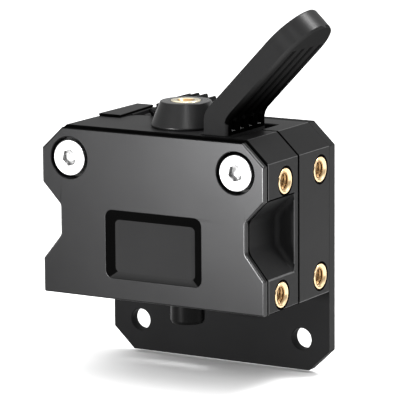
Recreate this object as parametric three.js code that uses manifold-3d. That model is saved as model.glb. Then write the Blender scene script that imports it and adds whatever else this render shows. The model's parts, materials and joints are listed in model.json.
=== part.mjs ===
// Geared filament extruder: two-part housing on a motor plate, a large driven
// gear turned by a motor pinion, a hobbed drive gear and a sprung idler lever.
//
// Units are millimetres, +Z is up. The part is laid out in bench coordinates
// (X across the front, Y from the front cover backwards, Z up from the bottom
// of the housing) and the outer group moves it so that the origin is on the
// motor axis at the back face of the mounting plate, with -Y out of the front.

import * as THREE from 'three';
import { mergeVertices } from 'three/addons/utils/BufferGeometryUtils.js';
import Module from 'manifold-3d';

const wasm = await Module();
wasm.setup();

// ---------------------------------------------------------------- dimensions
const HALF_W = 20.7;            // housing half width
const COVER_TOP = 27.55;        // top edge of the front cover
const HOUSING_TOP = 27.8;       // top of both housings
const PAD_TOP = 28.2;           // raised strip at the top left
const CHAMFER_X = 3.85;         // corner chamfer, along X
const CHAMFER_Z = 3.62;         // corner chamfer, along Z
const NOTCH_Z = [5.6, 9.75, 14.75, 18.3];   // side notch, bottom to top
const NOTCH_DEPTH = 3.4;

const COVER_Y = [0.0, 1.0];
const FRONT_Y = [1.3, 11.1];    // front housing
const REAR_Y = [11.4, 21.55];   // rear housing
const PLATE_Y = [21.6, 23.6];   // motor plate
const NOTCH_BACK = 9.9;         // the side notches stop short of the parting line
const LAND = 0.28;              // raised inner land, leaves a shadow line outside
const LAND_INSET = 0.7;

const MOTOR = { x: 0, z: 7.1 };             // motor axis
const BOLT = 15.5;                          // half of the 31 mm bolt square
const PILOT_R = 11.05;
const MODULE_SIZE = 0.5;
const TEETH_DRIVEN = 40;
const TEETH_PINION = 16;
const TEETH_HOB = 17;
const DRIVE = { x: -3.0, z: 20.775 };       // drive shaft axis
const PITCH_HOB = MODULE_SIZE * TEETH_HOB / 2;
const FILAMENT = { x: DRIVE.x + PITCH_HOB, y: 9.0 };
const IDLER = { x: DRIVE.x + 2 * PITCH_HOB, z: DRIVE.z };
const PIVOT = { x: 6.6, z: 5.2 };           // lever pivot pin
const LEVER_Y = [2.7, 15.2];
const LEVER_ANGLE = 46.3;                   // slope of the thumb paddle
const LEVER_T = 3.9;
const SLOT = { x0: 7.75, x1: 13.8, y0: 2.3, y1: 17.4 };
const SPRING = { y: 7.2, z: 13.5, x0: 9.95, x1: 16.2, r: 1.95, wire: 0.35 };
const RECESS = { x: 0.25, halfW: 8.95, z0: 3.5, z1: 14.7, depth: 0.6 };
const INSERTS = [               // brass side inserts: name, y, z
  ['front_upper', 7.0, 20.75],
  ['front_lower', 5.75, 2.55],
  ['rear_upper', 18.6, 20.8],
  ['rear_lower', 18.6, 3.2],
];
const INSERT_R = 2.15;
const INSERT_LEN = 3.0;
const CONE = { base: 5.67, top: 4.13, z0: HOUSING_TOP + 0.02, z1: 32.0 };

// ------------------------------------------------------------------- helpers
function solid(geometry) {
  const g = geometry.clone();
  g.deleteAttribute('normal');
  g.deleteAttribute('uv');
  const m = mergeVertices(g, 1e-4);
  const pos = m.attributes.position.array;
  const idx = m.index.array;
  const tris = [];
  for (let i = 0; i < idx.length; i += 3) {
    const a = idx[i], b = idx[i + 1], c = idx[i + 2];
    if (a !== b && b !== c && a !== c) tris.push(a, b, c);
  }
  let volume = 0;
  for (let i = 0; i < tris.length; i += 3) {
    const [a, b, c] = [tris[i] * 3, tris[i + 1] * 3, tris[i + 2] * 3];
    volume += pos[a] * (pos[b + 1] * pos[c + 2] - pos[b + 2] * pos[c + 1])
      - pos[a + 1] * (pos[b] * pos[c + 2] - pos[b + 2] * pos[c])
      + pos[a + 2] * (pos[b] * pos[c + 1] - pos[b + 1] * pos[c]);
  }
  if (volume < 0) {
    for (let i = 0; i < tris.length; i += 3) {
      const t = tris[i + 1]; tris[i + 1] = tris[i + 2]; tris[i + 2] = t;
    }
  }
  return new wasm.Manifold(new wasm.Mesh({
    numProp: 3,
    vertProperties: new Float32Array(pos),
    triVerts: new Uint32Array(tris),
  }));
}

function geometryOf(manifold) {
  const mesh = manifold.getMesh();
  const g = new THREE.BufferGeometry();
  g.setAttribute('position', new THREE.BufferAttribute(new Float32Array(mesh.vertProperties), 3));
  g.setIndex(new THREE.BufferAttribute(new Uint32Array(mesh.triVerts), 1));
  g.computeVertexNormals();
  return g;
}

const union = (...list) => list.reduce((a, b) => a.add(b));
const cut = (base, ...list) => list.reduce((a, b) => a.subtract(b), base);

// outline given in (x, z), pulled along Y
function slabY(points, y0, y1) {
  const shape = new THREE.Shape(points.map(([x, z]) => new THREE.Vector2(x, z)));
  const g = new THREE.ExtrudeGeometry(shape, { depth: y1 - y0, bevelEnabled: false, steps: 1 });
  g.rotateX(Math.PI / 2);
  g.translate(0, y1, 0);
  return solid(g);
}

// outline given in (x, y), pulled along Z
function slabZ(points, z0, z1) {
  const shape = new THREE.Shape(points.map(([x, y]) => new THREE.Vector2(x, y)));
  const g = new THREE.ExtrudeGeometry(shape, { depth: z1 - z0, bevelEnabled: false, steps: 1 });
  g.translate(0, 0, z0);
  return solid(g);
}

function box(x0, x1, y0, y1, z0, z1) {
  const g = new THREE.BoxGeometry(x1 - x0, y1 - y0, z1 - z0);
  g.translate((x0 + x1) / 2, (y0 + y1) / 2, (z0 + z1) / 2);
  return solid(g);
}

function rodY(r, x, z, y0, y1, n = 32) {
  const g = new THREE.CylinderGeometry(r, r, y1 - y0, n);
  g.translate(x, (y0 + y1) / 2, z);
  return solid(g);
}

function rodX(r, y, z, x0, x1, n = 24) {
  const g = new THREE.CylinderGeometry(r, r, x1 - x0, n);
  g.rotateZ(Math.PI / 2);
  g.translate((x0 + x1) / 2, y, z);
  return solid(g);
}

function rodZ(r, x, y, z0, z1, n = 32) {
  const g = new THREE.CylinderGeometry(r, r, z1 - z0, n);
  g.rotateX(Math.PI / 2);
  g.translate(x, y, (z0 + z1) / 2);
  return solid(g);
}

// closed (radius, height) profile turned about a line along Y, Z or X
function turnedY(profile, x, z, n = 32) {
  const pts = profile.map(([r, h]) => new THREE.Vector2(r, h));
  if (profile[0][0] > 1e-6) pts.push(pts[0].clone());
  const g = new THREE.LatheGeometry(pts, n);
  g.translate(x, 0, z);
  return solid(g);
}
function turnedZ(profile, x, y, n = 32) {
  const pts = profile.map(([r, h]) => new THREE.Vector2(r, h));
  if (profile[0][0] > 1e-6) pts.push(pts[0].clone());
  const g = new THREE.LatheGeometry(pts, n);
  g.rotateX(Math.PI / 2);
  g.translate(x, y, 0);
  return solid(g);
}
function turnedX(profile, y, z, n = 24) {
  const pts = profile.map(([r, h]) => new THREE.Vector2(r, h));
  if (profile[0][0] > 1e-6) pts.push(pts[0].clone());
  const g = new THREE.LatheGeometry(pts, n);
  g.rotateZ(-Math.PI / 2);
  g.translate(0, y, z);
  return solid(g);
}

// pulls a closed outline inwards by d (anticlockwise outline)
function inset(points, d) {
  const n = points.length;
  const out = [];
  for (let i = 0; i < n; i++) {
    const p = points[(i + n - 1) % n], q = points[i], r = points[(i + 1) % n];
    const e1 = new THREE.Vector2(q[0] - p[0], q[1] - p[1]).normalize();
    const e2 = new THREE.Vector2(r[0] - q[0], r[1] - q[1]).normalize();
    const n1 = new THREE.Vector2(-e1.y, e1.x), n2 = new THREE.Vector2(-e2.y, e2.x);
    const k = d / (1 + n1.dot(n2));
    out.push([q[0] + (n1.x + n2.x) * k, q[1] + (n1.y + n2.y) * k]);
  }
  return out;
}

function arc(cx, cy, r, a0, a1, n) {
  const out = [];
  for (let i = 0; i <= n; i++) {
    const a = (a0 + (a1 - a0) * i / n) * Math.PI / 180;
    out.push([cx + r * Math.cos(a), cy + r * Math.sin(a)]);
  }
  return out;
}

// involute gear outline in (x, z), with one tooth centred on `phase` degrees
function gearOutline(cx, cz, teeth, thin, phase, addendum = 1.0, flank = [0, 1]) {
  const m = MODULE_SIZE, rp = m * teeth / 2, rb = rp * Math.cos(20 * Math.PI / 180);
  const ra = rp + addendum * m, rf = rp - 1.25 * m;
  const inv = (a) => Math.tan(a) - a;
  const half = (Math.PI * m / 2 - thin) / (2 * rp) + inv(20 * Math.PI / 180);
  const at = (rho) => half - (rho > rb ? inv(Math.acos(rb / rho)) : 0);
  const start = Math.max(rb, rf);
  const radii = flank.map((t) => start + (ra - start) * t);
  const out = [];
  const push = (rho, a) => out.push([cx + rho * Math.cos(a), cz + rho * Math.sin(a)]);
  const base = phase * Math.PI / 180;
  for (let i = 0; i < teeth; i++) {
    const c = base + 2 * Math.PI * i / teeth;
    push(rf, c - at(start) - 0.02);
    for (const rho of radii) push(rho, c - at(rho));
    for (const rho of [...radii].reverse()) push(rho, c + at(rho));
    push(rf, c + at(start) + 0.02);
  }
  return out;
}

const outer = new THREE.Group();
outer.position.set(-MOTOR.x, -PLATE_Y[1], -MOTOR.z);

function piece(parent, name, body, colour, roughness, metalness) {
  const material = new THREE.MeshStandardMaterial({ color: colour, roughness, metalness });
  const mesh = new THREE.Mesh(geometryOf(body), material);
  mesh.name = name;
  parent.add(mesh);
  return mesh;
}

// ------------------------------------------------------------------ outlines
function housingOutline(top, notched) {
  const w = HALF_W, [a, b, c, d] = NOTCH_Z, i = w - NOTCH_DEPTH;
  const right = notched ? [[w, 0], [w, a], [i, b], [i, c], [w, d]] : [[w, 0]];
  const left = notched ? [[-w, d], [-i, c], [-i, b], [-w, a], [-w, 0]] : [[-w, 0]];
  return [...right, [w, top - CHAMFER_Z], [w - CHAMFER_X, top],
    [-(w - CHAMFER_X), top], [-w, top - CHAMFER_Z], ...left];
}
const sides = [['left', -1], ['right', 1]];
const screwAt = [[-BOLT, MOTOR.z + BOLT], [BOLT, MOTOR.z + BOLT]];

// --------------------------------------------------------------- fixed parts
const fixed = new THREE.Group();
outer.add(fixed);

// front cover with a sloped-wall recess and two screw holes
{
  const plate = slabY(housingOutline(COVER_TOP, true), COVER_Y[0], COVER_Y[1]);
  const { x, halfW, z0, z1, depth } = RECESS;
  const ring = (hw, b, t, r) => [
    ...arc(x + hw - r, b + r, r, -90, 0, 4), ...arc(x + hw - r, t - r, r, 0, 90, 4),
    ...arc(x - hw + r, t - r, r, 90, 180, 4), ...arc(x - hw + r, b + r, r, 180, 270, 4)];
  const outerRing = ring(halfW, z0, z1, 1.3);
  const innerRing = ring(halfW - 1.5, z0 + 1.0, z1 - 1.6, 0.8);
  const n = outerRing.length;
  const pos = [];
  for (const [px, pz] of outerRing) pos.push(px, -0.001, pz);
  for (const [px, pz] of innerRing) pos.push(px, depth, pz);
  const idx = [];
  for (let i = 0; i < n; i++) {
    const j = (i + 1) % n;
    idx.push(i, j, n + j, i, n + j, n + i);
  }
  const c0 = pos.length / 3; pos.push(x, -0.001, (z0 + z1) / 2);
  const c1 = c0 + 1; pos.push(x, depth, (z0 + z1) / 2 - 0.3);
  for (let i = 0; i < n; i++) {
    const j = (i + 1) % n;
    idx.push(c0, j, i, c1, n + i, n + j);
  }
  const tool = new THREE.BufferGeometry();
  tool.setAttribute('position', new THREE.Float32BufferAttribute(pos, 3));
  tool.setIndex(idx);
  const holes = screwAt.map(([sx, sz]) => rodY(3.5, sx, sz, -1, 2, 28));
  piece(fixed, 'front_cover', cut(plate, solid(tool), ...holes), 0x565656, 0.42, 0.85);
}

// front housing: holds the cone, the filament guide, the front bearing and the
// chamber in which the hobbed gears and the idler lever work
{
  const w = HALF_W;
  let body = slabY(housingOutline(HOUSING_TOP, false), FRONT_Y[0], FRONT_Y[1]);
  const notch = (s) => slabY([
    [s * (w + 1), NOTCH_Z[0] - 1.22], [s * w, NOTCH_Z[0]], [s * (w - NOTCH_DEPTH), NOTCH_Z[1]],
    [s * (w - NOTCH_DEPTH), NOTCH_Z[2]], [s * w, NOTCH_Z[3]], [s * (w + 1), NOTCH_Z[3] + 1.04],
  ].slice(), 0, NOTCH_BACK);
  const land = slabY(inset(housingOutline(COVER_TOP, true), LAND_INSET), FRONT_Y[0] - LAND, FRONT_Y[0] + 0.5);
  body = union(body, land);
  const tongue = slabZ([
    ...arc(-9.2, 11.9, 3.4, 90, 180, 6).map(([x, y]) => [x, y]),
    [-12.6, 10.5], [7.4, 10.5], [7.4, 15.3]].reverse(), 26.0, HOUSING_TOP);
  body = union(body, tongue);
  body = cut(body,
    notch(1), notch(-1),
    ...screwAt.map(([sx, sz]) => rodY(1.65, sx, sz, 0, 12, 16)),
    ...screwAt.map(([sx, sz]) => rodY(3.5, sx, sz, 0, 2.15, 28)),
    rodY(4.05, DRIVE.x, DRIVE.z, 2.2, 12, 32),
    rodY(2.9, DRIVE.x, DRIVE.z, 1.75, 3, 16),
    rodY(5.15, DRIVE.x, DRIVE.z, 4.4, 12, 32),
    rodY(5.15, IDLER.x, IDLER.z, 4.4, 12, 32),
    slabY([[2.15, 16.6], [SLOT.x1, 15.2], [SLOT.x1, 26.0], [2.15, 26.0]], SLOT.y0, 11.3),
    slabY([[3.7, 2.2], [SLOT.x1, 2.2], [SLOT.x1, 17.0], [3.0, 17.0], [3.7, 14.6]], 3.8, 11.3),
    box(SLOT.x0, SLOT.x1, SLOT.y0, 16, 25.5, 29),
    rodY(1.55, PIVOT.x, PIVOT.z, 1.75, 4, 20),
    rodX(2.45, SPRING.y, SPRING.z, 13.0, SPRING.x1 + 0.15, 16),
    ...INSERTS.slice(0, 2).flatMap(([, y, z]) => [
      rodX(INSERT_R + 0.06, y, z, w - INSERT_LEN - 0.3, w + 1, 16),
      rodX(INSERT_R + 0.06, y, z, -w - 1, -(w - INSERT_LEN - 0.3), 16)]),
    rodZ(2.08, FILAMENT.x, FILAMENT.y, -1, 18, 20),
    box(FILAMENT.x - 0.9, FILAMENT.x + 0.9, FILAMENT.y, 11.5, -1, 18),
    rodZ(1.98, FILAMENT.x, FILAMENT.y, 24, 29, 20));
  piece(fixed, 'front_housing', body, 0x3a3a3a, 0.5, 0.1);
}

// rear housing: rear bearing, driven gear chamber open at the top and back
{
  const w = HALF_W;
  let body = slabY(housingOutline(HOUSING_TOP, false), REAR_Y[0], REAR_Y[1]);
  const land = slabY(inset(housingOutline(25.4, false), LAND_INSET), REAR_Y[0] - LAND, REAR_Y[0] + 0.5);
  const pad = slabZ([[-16.75, REAR_Y[0]], [-12.8, REAR_Y[0]], [-13.75, PLATE_Y[1]], [-16.75, PLATE_Y[1]]], HOUSING_TOP + 0.06, PAD_TOP);
  const padRoot = slabZ([[-16.75, REAR_Y[0]], [-12.8, REAR_Y[0]], [-13.6, REAR_Y[1]], [-16.75, REAR_Y[1]]], HOUSING_TOP - 0.5, PAD_TOP);
  body = union(body, land, pad, padRoot);
  body = cut(body,
    ...screwAt.map(([sx, sz]) => rodY(1.6, sx, sz, 10, 24, 16)),
    rodY(10.85, DRIVE.x, DRIVE.z, 14.95, 24, 48),
    slabZ([[-13.62, 24], [-12.74, 14.95], [6.4, 14.95], [6.4, 24]].reverse(), 25.2, 29),
    slabZ([[-13.05, 15.4], [-12.7, 10], [7.75, 10], [7.75, 15.4]].reverse(), 25.7, 29),
    rodY(5.0, MOTOR.x, MOTOR.z, 14.95, 24, 28),
    rodY(4.45, MOTOR.x, MOTOR.z, 11.9, 16, 24),
    rodY(4.05, DRIVE.x, DRIVE.z, 12.25, 16, 32),
    rodY(3.0, DRIVE.x, DRIVE.z, 10, 13, 20),
    slabY([[2.15, 16.6], [SLOT.x1, 15.2], [SLOT.x1, 26.0], [2.15, 26.0]], 10, 12.9),
    slabY([[9.6, 16.0], [SLOT.x1, 16.0], [SLOT.x1, 27.0], [9.6, 27.0]], 10, SLOT.y1),
    box(SLOT.x0, SLOT.x1, 10, SLOT.y1, 24.8, 29),
    rodY(1.55, PIVOT.x, PIVOT.z, 10, 14.1, 20),
    rodY(1.05, -15.0, 4.0, 15.5, 24, 14), rodY(1.05, 15.0, 4.0, 15.5, 24, 14),
    ...INSERTS.slice(2).flatMap(([, y, z]) => [
      rodX(INSERT_R + 0.06, y, z, w - INSERT_LEN - 0.3, w + 1, 16),
      rodX(INSERT_R + 0.06, y, z, -w - 1, -(w - INSERT_LEN - 0.3), 16)]));
  piece(fixed, 'rear_housing', body, 0x3a3a3a, 0.5, 0.1);
}

// motor plate: 31 mm bolt square, pilot bore, two countersunk holes
{
  const w = HALF_W, z0 = MOTOR.z - w, z1 = MOTOR.z + w;
  const outline = [[w - CHAMFER_X, z0], [w, z0 + CHAMFER_Z], [w, z1 - CHAMFER_Z], [w - CHAMFER_X, z1],
    [-(w - CHAMFER_X), z1], [-w, z1 - CHAMFER_Z], [-w, z0 + CHAMFER_Z], [-(w - CHAMFER_X), z0]];
  const holes = [];
  for (const sx of [-1, 1]) {
    for (const sz of [-1, 1]) holes.push(rodY(1.8, sx * BOLT, MOTOR.z + sz * BOLT, 20, 25, 20));
    holes.push(turnedY([[0, 20], [1.2, 20], [1.2, 22.45], [2.3, PLATE_Y[1]], [2.3, 25], [0, 25]], sx * 15.0, 4.0, 16));
  }
  const body = cut(slabY(outline, PLATE_Y[0], PLATE_Y[1]), rodY(PILOT_R, MOTOR.x, MOTOR.z, 20, 25, 48), ...holes);
  piece(fixed, 'motor_plate', body, 0x2b2b2b, 0.6, 0.3);
}

// long socket screws that clamp cover, housings and plate
function hexTool(x, z, r, y0, y1) {
  return slabY(arc(x, z, r, 0, 300, 5), y0, y1);
}
for (const [i, [side]] of sides.entries()) {
  const [sx, sz] = screwAt[i];
  const body = cut(
    turnedY([[0, -0.05], [2.75, -0.05], [3.0, 0.2], [3.0, 2.1], [1.5, 2.1], [1.5, 26.6], [1.2, 26.9], [0, 26.9]], sx, sz, 20),
    hexTool(sx, sz, 1.45, -1, 1.3));
  piece(fixed, `cover_screw_${side}`, body, 0xe6e6e6, 0.2, 1.0);
}
for (const [side, s] of sides) {
  const sx = s * 15.0, sz = 4.0;
  const body = cut(
    turnedY([[0, 16.0], [1.0, 16.0], [1.0, 22.4], [2.2, 23.55], [0, 23.55]], sx, sz, 14),
    hexTool(sx, sz, 0.85, 22.6, 25));
  piece(fixed, `plate_screw_${side}`, body, 0x2a2a2a, 0.35, 0.9);
}

// brass threaded inserts in the four side positions of each flank
for (const [side, s] of sides) {
  for (const [where, y, z] of INSERTS) {
    const x1 = HALF_W + 0.02, x0 = HALF_W - INSERT_LEN;
    const profile = [[1.28, x0], [INSERT_R, x0], [INSERT_R, x1], [1.65, x1], [1.28, x1 - 0.4]];
    const body = turnedX(s > 0 ? profile : profile.map(([r, h]) => [r, -h]), y, z, 16);
    piece(fixed, `insert_${side}_${where}`, body, 0xd8a860, 0.3, 1.0);
  }
}

// inlet cone on the housing top and its brass bush
{
  const { base, top, z0, z1 } = CONE;
  const body = turnedZ([[1.1, 26.1], [1.9, 26.1], [1.9, z0], [base - 0.1, z0], [base, z0 + 0.2],
    [top + 0.2, z1 - 0.15], [top, z1], [2.55, z1], [2.55, 28.9], [1.1, 28.9]], FILAMENT.x, FILAMENT.y, 28);
  piece(fixed, 'inlet_cone', body, 0x2e2e2e, 0.35, 0.2);
  const bush = turnedZ([[1.05, 28.95], [2.46, 28.95], [2.46, z1 - 0.05], [2.3, z1 + 0.1], [1.5, z1 + 0.1], [1.05, z1 - 0.4]],
    FILAMENT.x, FILAMENT.y, 24);
  piece(fixed, 'inlet_bush', bush, 0xe0b870, 0.25, 1.0);
}

// outlet collar under the housing and the guide tube above it
{
  const collar = turnedZ([[2.08, -4.6], [2.4, -4.6], [2.8, -4.1], [2.8, -0.02], [2.08, -0.02]], FILAMENT.x, FILAMENT.y, 24);
  piece(fixed, 'outlet_collar', collar, 0x2b2b2b, 0.4, 0.2);
  const tube = turnedZ([[1.0, -4.3], [2.0, -4.3], [2.0, 16.0], [1.3, 16.0], [1.0, 15.4]], FILAMENT.x, FILAMENT.y, 20);
  piece(fixed, 'guide_tube', tube, 0xe8e8e4, 0.5, 0.0);
}

// shaft bearings and the lever pivot pin
for (const [name, y0] of [['front_bearing', 2.22], ['rear_bearing', 12.3]]) {
  const y1 = y0 + 2.5;
  const body = turnedY([[2.57, y0], [4.0, y0], [4.0, y1], [3.45, y1], [3.3, y1 - 0.15], [3.05, y1], [2.57, y1]], DRIVE.x, DRIVE.z, 24);
  piece(fixed, name, body, 0xb8b8b8, 0.25, 1.0);
}
piece(fixed, 'lever_pivot_pin', rodY(1.5, PIVOT.x, PIVOT.z, 1.8, 14.0, 20), 0xc0c0c0, 0.25, 1.0);

// clamping spring, between the lever and the housing
{
  class Helix extends THREE.Curve {
    getPoint(t, target = new THREE.Vector3()) {
      const turns = 5.5, a = t * turns * 2 * Math.PI;
      const len = SPRING.x1 - SPRING.x0 - 2 * SPRING.wire;
      return target.set(SPRING.x0 + SPRING.wire + len * t, SPRING.y + SPRING.r * Math.cos(a), SPRING.z + SPRING.r * Math.sin(a));
    }
  }
  const section = new THREE.Shape(arc(0, 0, SPRING.wire, 0, 300, 5).map(([x, y]) => new THREE.Vector2(x, y)));
  const g = new THREE.ExtrudeGeometry(section, { steps: 55, bevelEnabled: false, extrudePath: new Helix() });
  piece(fixed, 'clamp_spring', solid(g), 0xa8a8a8, 0.3, 1.0);
}

// --------------------------------------------------------- drive shaft group
const meshAngle = Math.atan2(MOTOR.z - DRIVE.z, MOTOR.x - DRIVE.x) * 180 / Math.PI;
const train = new THREE.Group();
outer.add(train);
{
  const { x, z } = DRIVE;
  piece(train, 'drive_shaft', turnedY([[0, 1.95], [2.3, 1.95], [2.5, 2.15], [2.5, 21.2], [2.3, 21.4], [0, 21.4]], x, z, 24), 0xc4c4c4, 0.25, 1.0);

  const hobEdge = 4.15, hobRoot = 3.55;
  const spur = slabY(gearOutline(x, z, TEETH_HOB, 0.12, 0), 4.85, 7.2);
  const hob = turnedY([[0, 7.1], [3.5, 7.1], [3.5, 7.6], [hobEdge, 7.6], [hobEdge, 8.1], [hobRoot, 8.7], [hobRoot, 9.3],
    [hobEdge, 9.9], [hobEdge, 10.6], [0, 10.6]], x, z, 20);
  piece(train, 'drive_gear', cut(union(spur, hob), rodY(2.56, x, z, 0, 20, 24)), 0x8c8c8c, 0.3, 1.0);

  let body = slabY(gearOutline(x, z, TEETH_DRIVEN, 0.05, meshAngle, 1.0, [0, 0.5, 1]), 15.6, 21.2);
  body = union(body, rodY(3.3, x, z, 14.9, 16.5, 20));
  body = cut(body, rodY(2.56, x, z, 0, 24, 24),
    turnedY([[4.3, 20.0], [8.2, 20.0], [8.2, 22.0], [4.3, 22.0]], x, z, 28));
  piece(train, 'driven_gear', body, 0x262626, 0.45, 0.1);
}

// --------------------------------------------------------------- motor pinion
const pinion = new THREE.Group();
outer.add(pinion);
{
  const { x, z } = MOTOR;
  const step = 360 / TEETH_PINION;
  let body = slabY(gearOutline(x, z, TEETH_PINION, 0.05, meshAngle + 180 + step / 2, 0.95), 15.2, 21.3);
  body = union(body, rodY(4.0, x, z, 12.3, 15.3, 18));
  body = cut(body, rodY(2.54, x, z, 0, 24, 18), rodX(1.28, 13.75, z, 1.5, 5, 16));
  piece(pinion, 'motor_pinion', body, 0xc8a868, 0.3, 1.0);
  piece(pinion, 'pinion_grub_screw', cut(rodX(1.24, 13.75, z, 2.56, 3.9, 16), rodX(0.65, 13.75, z, 3.2, 5, 6)), 0x303030, 0.4, 0.9);
}

// ---------------------------------------------------------------- idler lever
const lever = new THREE.Group();
outer.add(lever);
{
  const [y0, y1] = LEVER_Y;
  const th = LEVER_ANGLE * Math.PI / 180, d = [Math.cos(th), Math.sin(th)], nrm = [-Math.sin(th), Math.cos(th)];
  const p0 = [10.09, 33.364];                                 // a point on the paddle's upper face
  const at = (s, t) => [p0[0] + d[0] * s - nrm[0] * t, p0[1] + d[1] * s - nrm[1] * t];
  const xl = 8.15, xr = 12.55;
  const tip = 20.25;
  const c = 0.6;                                             // edge chamfer under the paddle
  const profile = (t, right) => [
    [xl, 25.7], [right, 25.7], [right, 29.1], [right + 0.12, 29.75], [right + 0.45, 30.35],
    at(0.2, t), at(tip + 0.5, t), at(tip + 0.5, 0), at(-1.4, 0), [8.64, 31.75], [8.27, 31.15], [xl, 30.5]];
  // the two edges of the underside are chamfered, so the section is built from two slabs
  const wide = slabY(profile(LEVER_T - c, xr - c), y0, y1);
  const narrow = slabY(profile(LEVER_T, xr), y0 + c, y1 - c);
  let body = union(wide, narrow);
  // round end of the paddle, seen square to it
  const r = (y1 - y0) / 2, yc = (y0 + y1) / 2;
  const mask = (() => {
    const pts = [[-14, -r - 1], [tip - r, -r - 1], [tip - r, -r], ...arc(tip - r, 0, r, -90, 90, 14), [tip - r, r + 1], [-14, r + 1]];
    const shape = new THREE.Shape(pts.map(([a, b]) => new THREE.Vector2(a, b)));
    const g = new THREE.ExtrudeGeometry(shape, { depth: 24, bevelEnabled: false });
    const m = new THREE.Matrix4().makeBasis(
      new THREE.Vector3(d[0], 0, d[1]), new THREE.Vector3(0, 1, 0), new THREE.Vector3(-nrm[0] * -1, 0, nrm[1]).multiplyScalar(-1));
    m.setPosition(p0[0] + nrm[0] * 12, yc, p0[1] + nrm[1] * 12);
    g.applyMatrix4(m);
    return solid(g);
  })();
  body = body.intersect(mask);
  // four grip grooves along the underside, open at the stub
  const grooves = [-1.5, -0.5, 0.5, 1.5].map((k) => {
    const y = yc + k * 2.81;
    return slabY([[xr - 0.75, 28.5], [xr + 1.6, 28.5], at(0, LEVER_T + 1.5), at(15.9, LEVER_T + 0.5), at(15.6, LEVER_T),
      at(14.6, LEVER_T - 0.8), at(-0.1, LEVER_T - 0.8), [xr - 0.75, 29.9]], y - 0.55, y + 0.55);
  });
  body = cut(body, ...grooves);
  // idler arm under the thumb lever
  const arm = union(
    rodY(2.6, PIVOT.x, PIVOT.z, 4.1, 10.75, 20),
    slabY([[4.15, 5.6], [9.15, 4.5], [12.6, 11.0], [12.6, 16.0], [10.6, 15.5], [5.0, 15.3], [4.4, 13.0]], 4.1, 10.75),
    slabY([[10.6, 15.5], [12.6, 15.5], [12.6, 16.0], [12.55, 26.5], [8.15, 26.5], [8.15, 26.0], [10.6, 24.6]], 4.1, 10.75),
    slabY([[10.6, 17.6], [12.55, 17.6], [12.55, 26.5], [8.15, 26.5], [8.15, 26.0], [10.6, 24.6]], y0, y1));
  const cheek = (a, b) => union(rodY(2.6, IDLER.x, IDLER.z, a, b, 20),
    slabY([[5.5, 18.175], [12.0, 17.6], [12.0, 24.9], [5.5, 23.375]], a, b));
  body = union(body, arm, cheek(y0 + 0.3, 4.55), cheek(10.95, 12.55));
  body = cut(body,
    rodY(1.56, PIVOT.x, PIVOT.z, 0, 20, 20),
    rodY(1.54, IDLER.x, IDLER.z, 0, 20, 20),
    rodX(2.45, SPRING.y, SPRING.z, SPRING.x0 - 0.1, 14, 16));
  piece(lever, 'idler_lever', body, 0x303030, 0.45, 0.1);
  piece(lever, 'idler_pin', rodY(1.5, IDLER.x, IDLER.z, 3.1, 12.45, 20), 0xc0c0c0, 0.25, 1.0);
}

const idler = new THREE.Group();
outer.add(idler);
{
  const { x, z } = IDLER;
  const spur = slabY(gearOutline(x, z, TEETH_HOB, 0.12, 0), 4.85, 7.2);
  const hob = turnedY([[0, 7.1], [3.5, 7.1], [3.5, 7.6], [4.15, 7.6], [4.15, 8.1], [3.55, 8.7], [3.55, 9.3], [4.15, 9.9], [4.15, 10.6], [0, 10.6]], x, z, 20);
  piece(idler, 'idler_gear', cut(union(spur, hob), rodY(2.56, x, z, 0, 20, 24)), 0x8c8c8c, 0.3, 1.0);
  piece(idler, 'idler_needle_bush', turnedY([[1.56, 5.0], [2.48, 5.0], [2.48, 10.5], [1.56, 10.5]], x, z, 20), 0xb0b0b0, 0.3, 1.0);
}

export default outer;
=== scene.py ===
"""Looks of a geared filament extruder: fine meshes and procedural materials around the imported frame."""
import json
import math

import bmesh
import bpy
from mathutils import Matrix, Vector


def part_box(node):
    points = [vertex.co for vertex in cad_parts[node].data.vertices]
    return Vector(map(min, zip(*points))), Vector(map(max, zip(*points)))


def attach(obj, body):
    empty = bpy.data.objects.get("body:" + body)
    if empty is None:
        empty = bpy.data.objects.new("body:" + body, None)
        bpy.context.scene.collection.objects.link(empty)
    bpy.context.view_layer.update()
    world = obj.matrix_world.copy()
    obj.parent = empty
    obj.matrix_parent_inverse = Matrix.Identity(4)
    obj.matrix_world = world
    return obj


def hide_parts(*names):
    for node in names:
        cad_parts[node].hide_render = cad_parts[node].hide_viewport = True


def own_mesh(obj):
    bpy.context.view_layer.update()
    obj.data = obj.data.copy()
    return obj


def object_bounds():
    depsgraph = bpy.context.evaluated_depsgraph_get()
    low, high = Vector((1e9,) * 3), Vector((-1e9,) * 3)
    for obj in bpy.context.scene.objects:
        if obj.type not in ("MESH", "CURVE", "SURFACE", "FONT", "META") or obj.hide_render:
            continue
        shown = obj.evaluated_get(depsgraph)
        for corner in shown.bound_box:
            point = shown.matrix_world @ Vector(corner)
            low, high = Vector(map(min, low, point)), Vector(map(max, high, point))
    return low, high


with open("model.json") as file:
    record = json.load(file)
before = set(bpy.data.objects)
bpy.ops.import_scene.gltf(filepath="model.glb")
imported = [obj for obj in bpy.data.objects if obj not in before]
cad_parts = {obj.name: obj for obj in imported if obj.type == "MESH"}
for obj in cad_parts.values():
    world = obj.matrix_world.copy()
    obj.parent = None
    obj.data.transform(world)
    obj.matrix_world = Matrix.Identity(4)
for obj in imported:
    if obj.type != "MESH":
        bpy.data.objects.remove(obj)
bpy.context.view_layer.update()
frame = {"nodes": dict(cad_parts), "record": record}
RECORD = frame["record"]
SCENE = bpy.context.scene

# ------------------------------------------------------------------ bench frame
# Shapes are laid out in millimetres on the bench: X across the front from its
# middle, Y back from the cover's face, Z up from the cover's lower edge. The
# cover's own box says where that lies in the row frame.
_lo, _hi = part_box("front_cover")
BENCH = Vector(((_lo.x + _hi.x) / 2, _lo.y, _lo.z))


def bench(node):
    """A CAD node's box in bench millimetres."""
    a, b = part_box(node)
    return (a - BENCH) * 1000, (b - BENCH) * 1000


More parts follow.
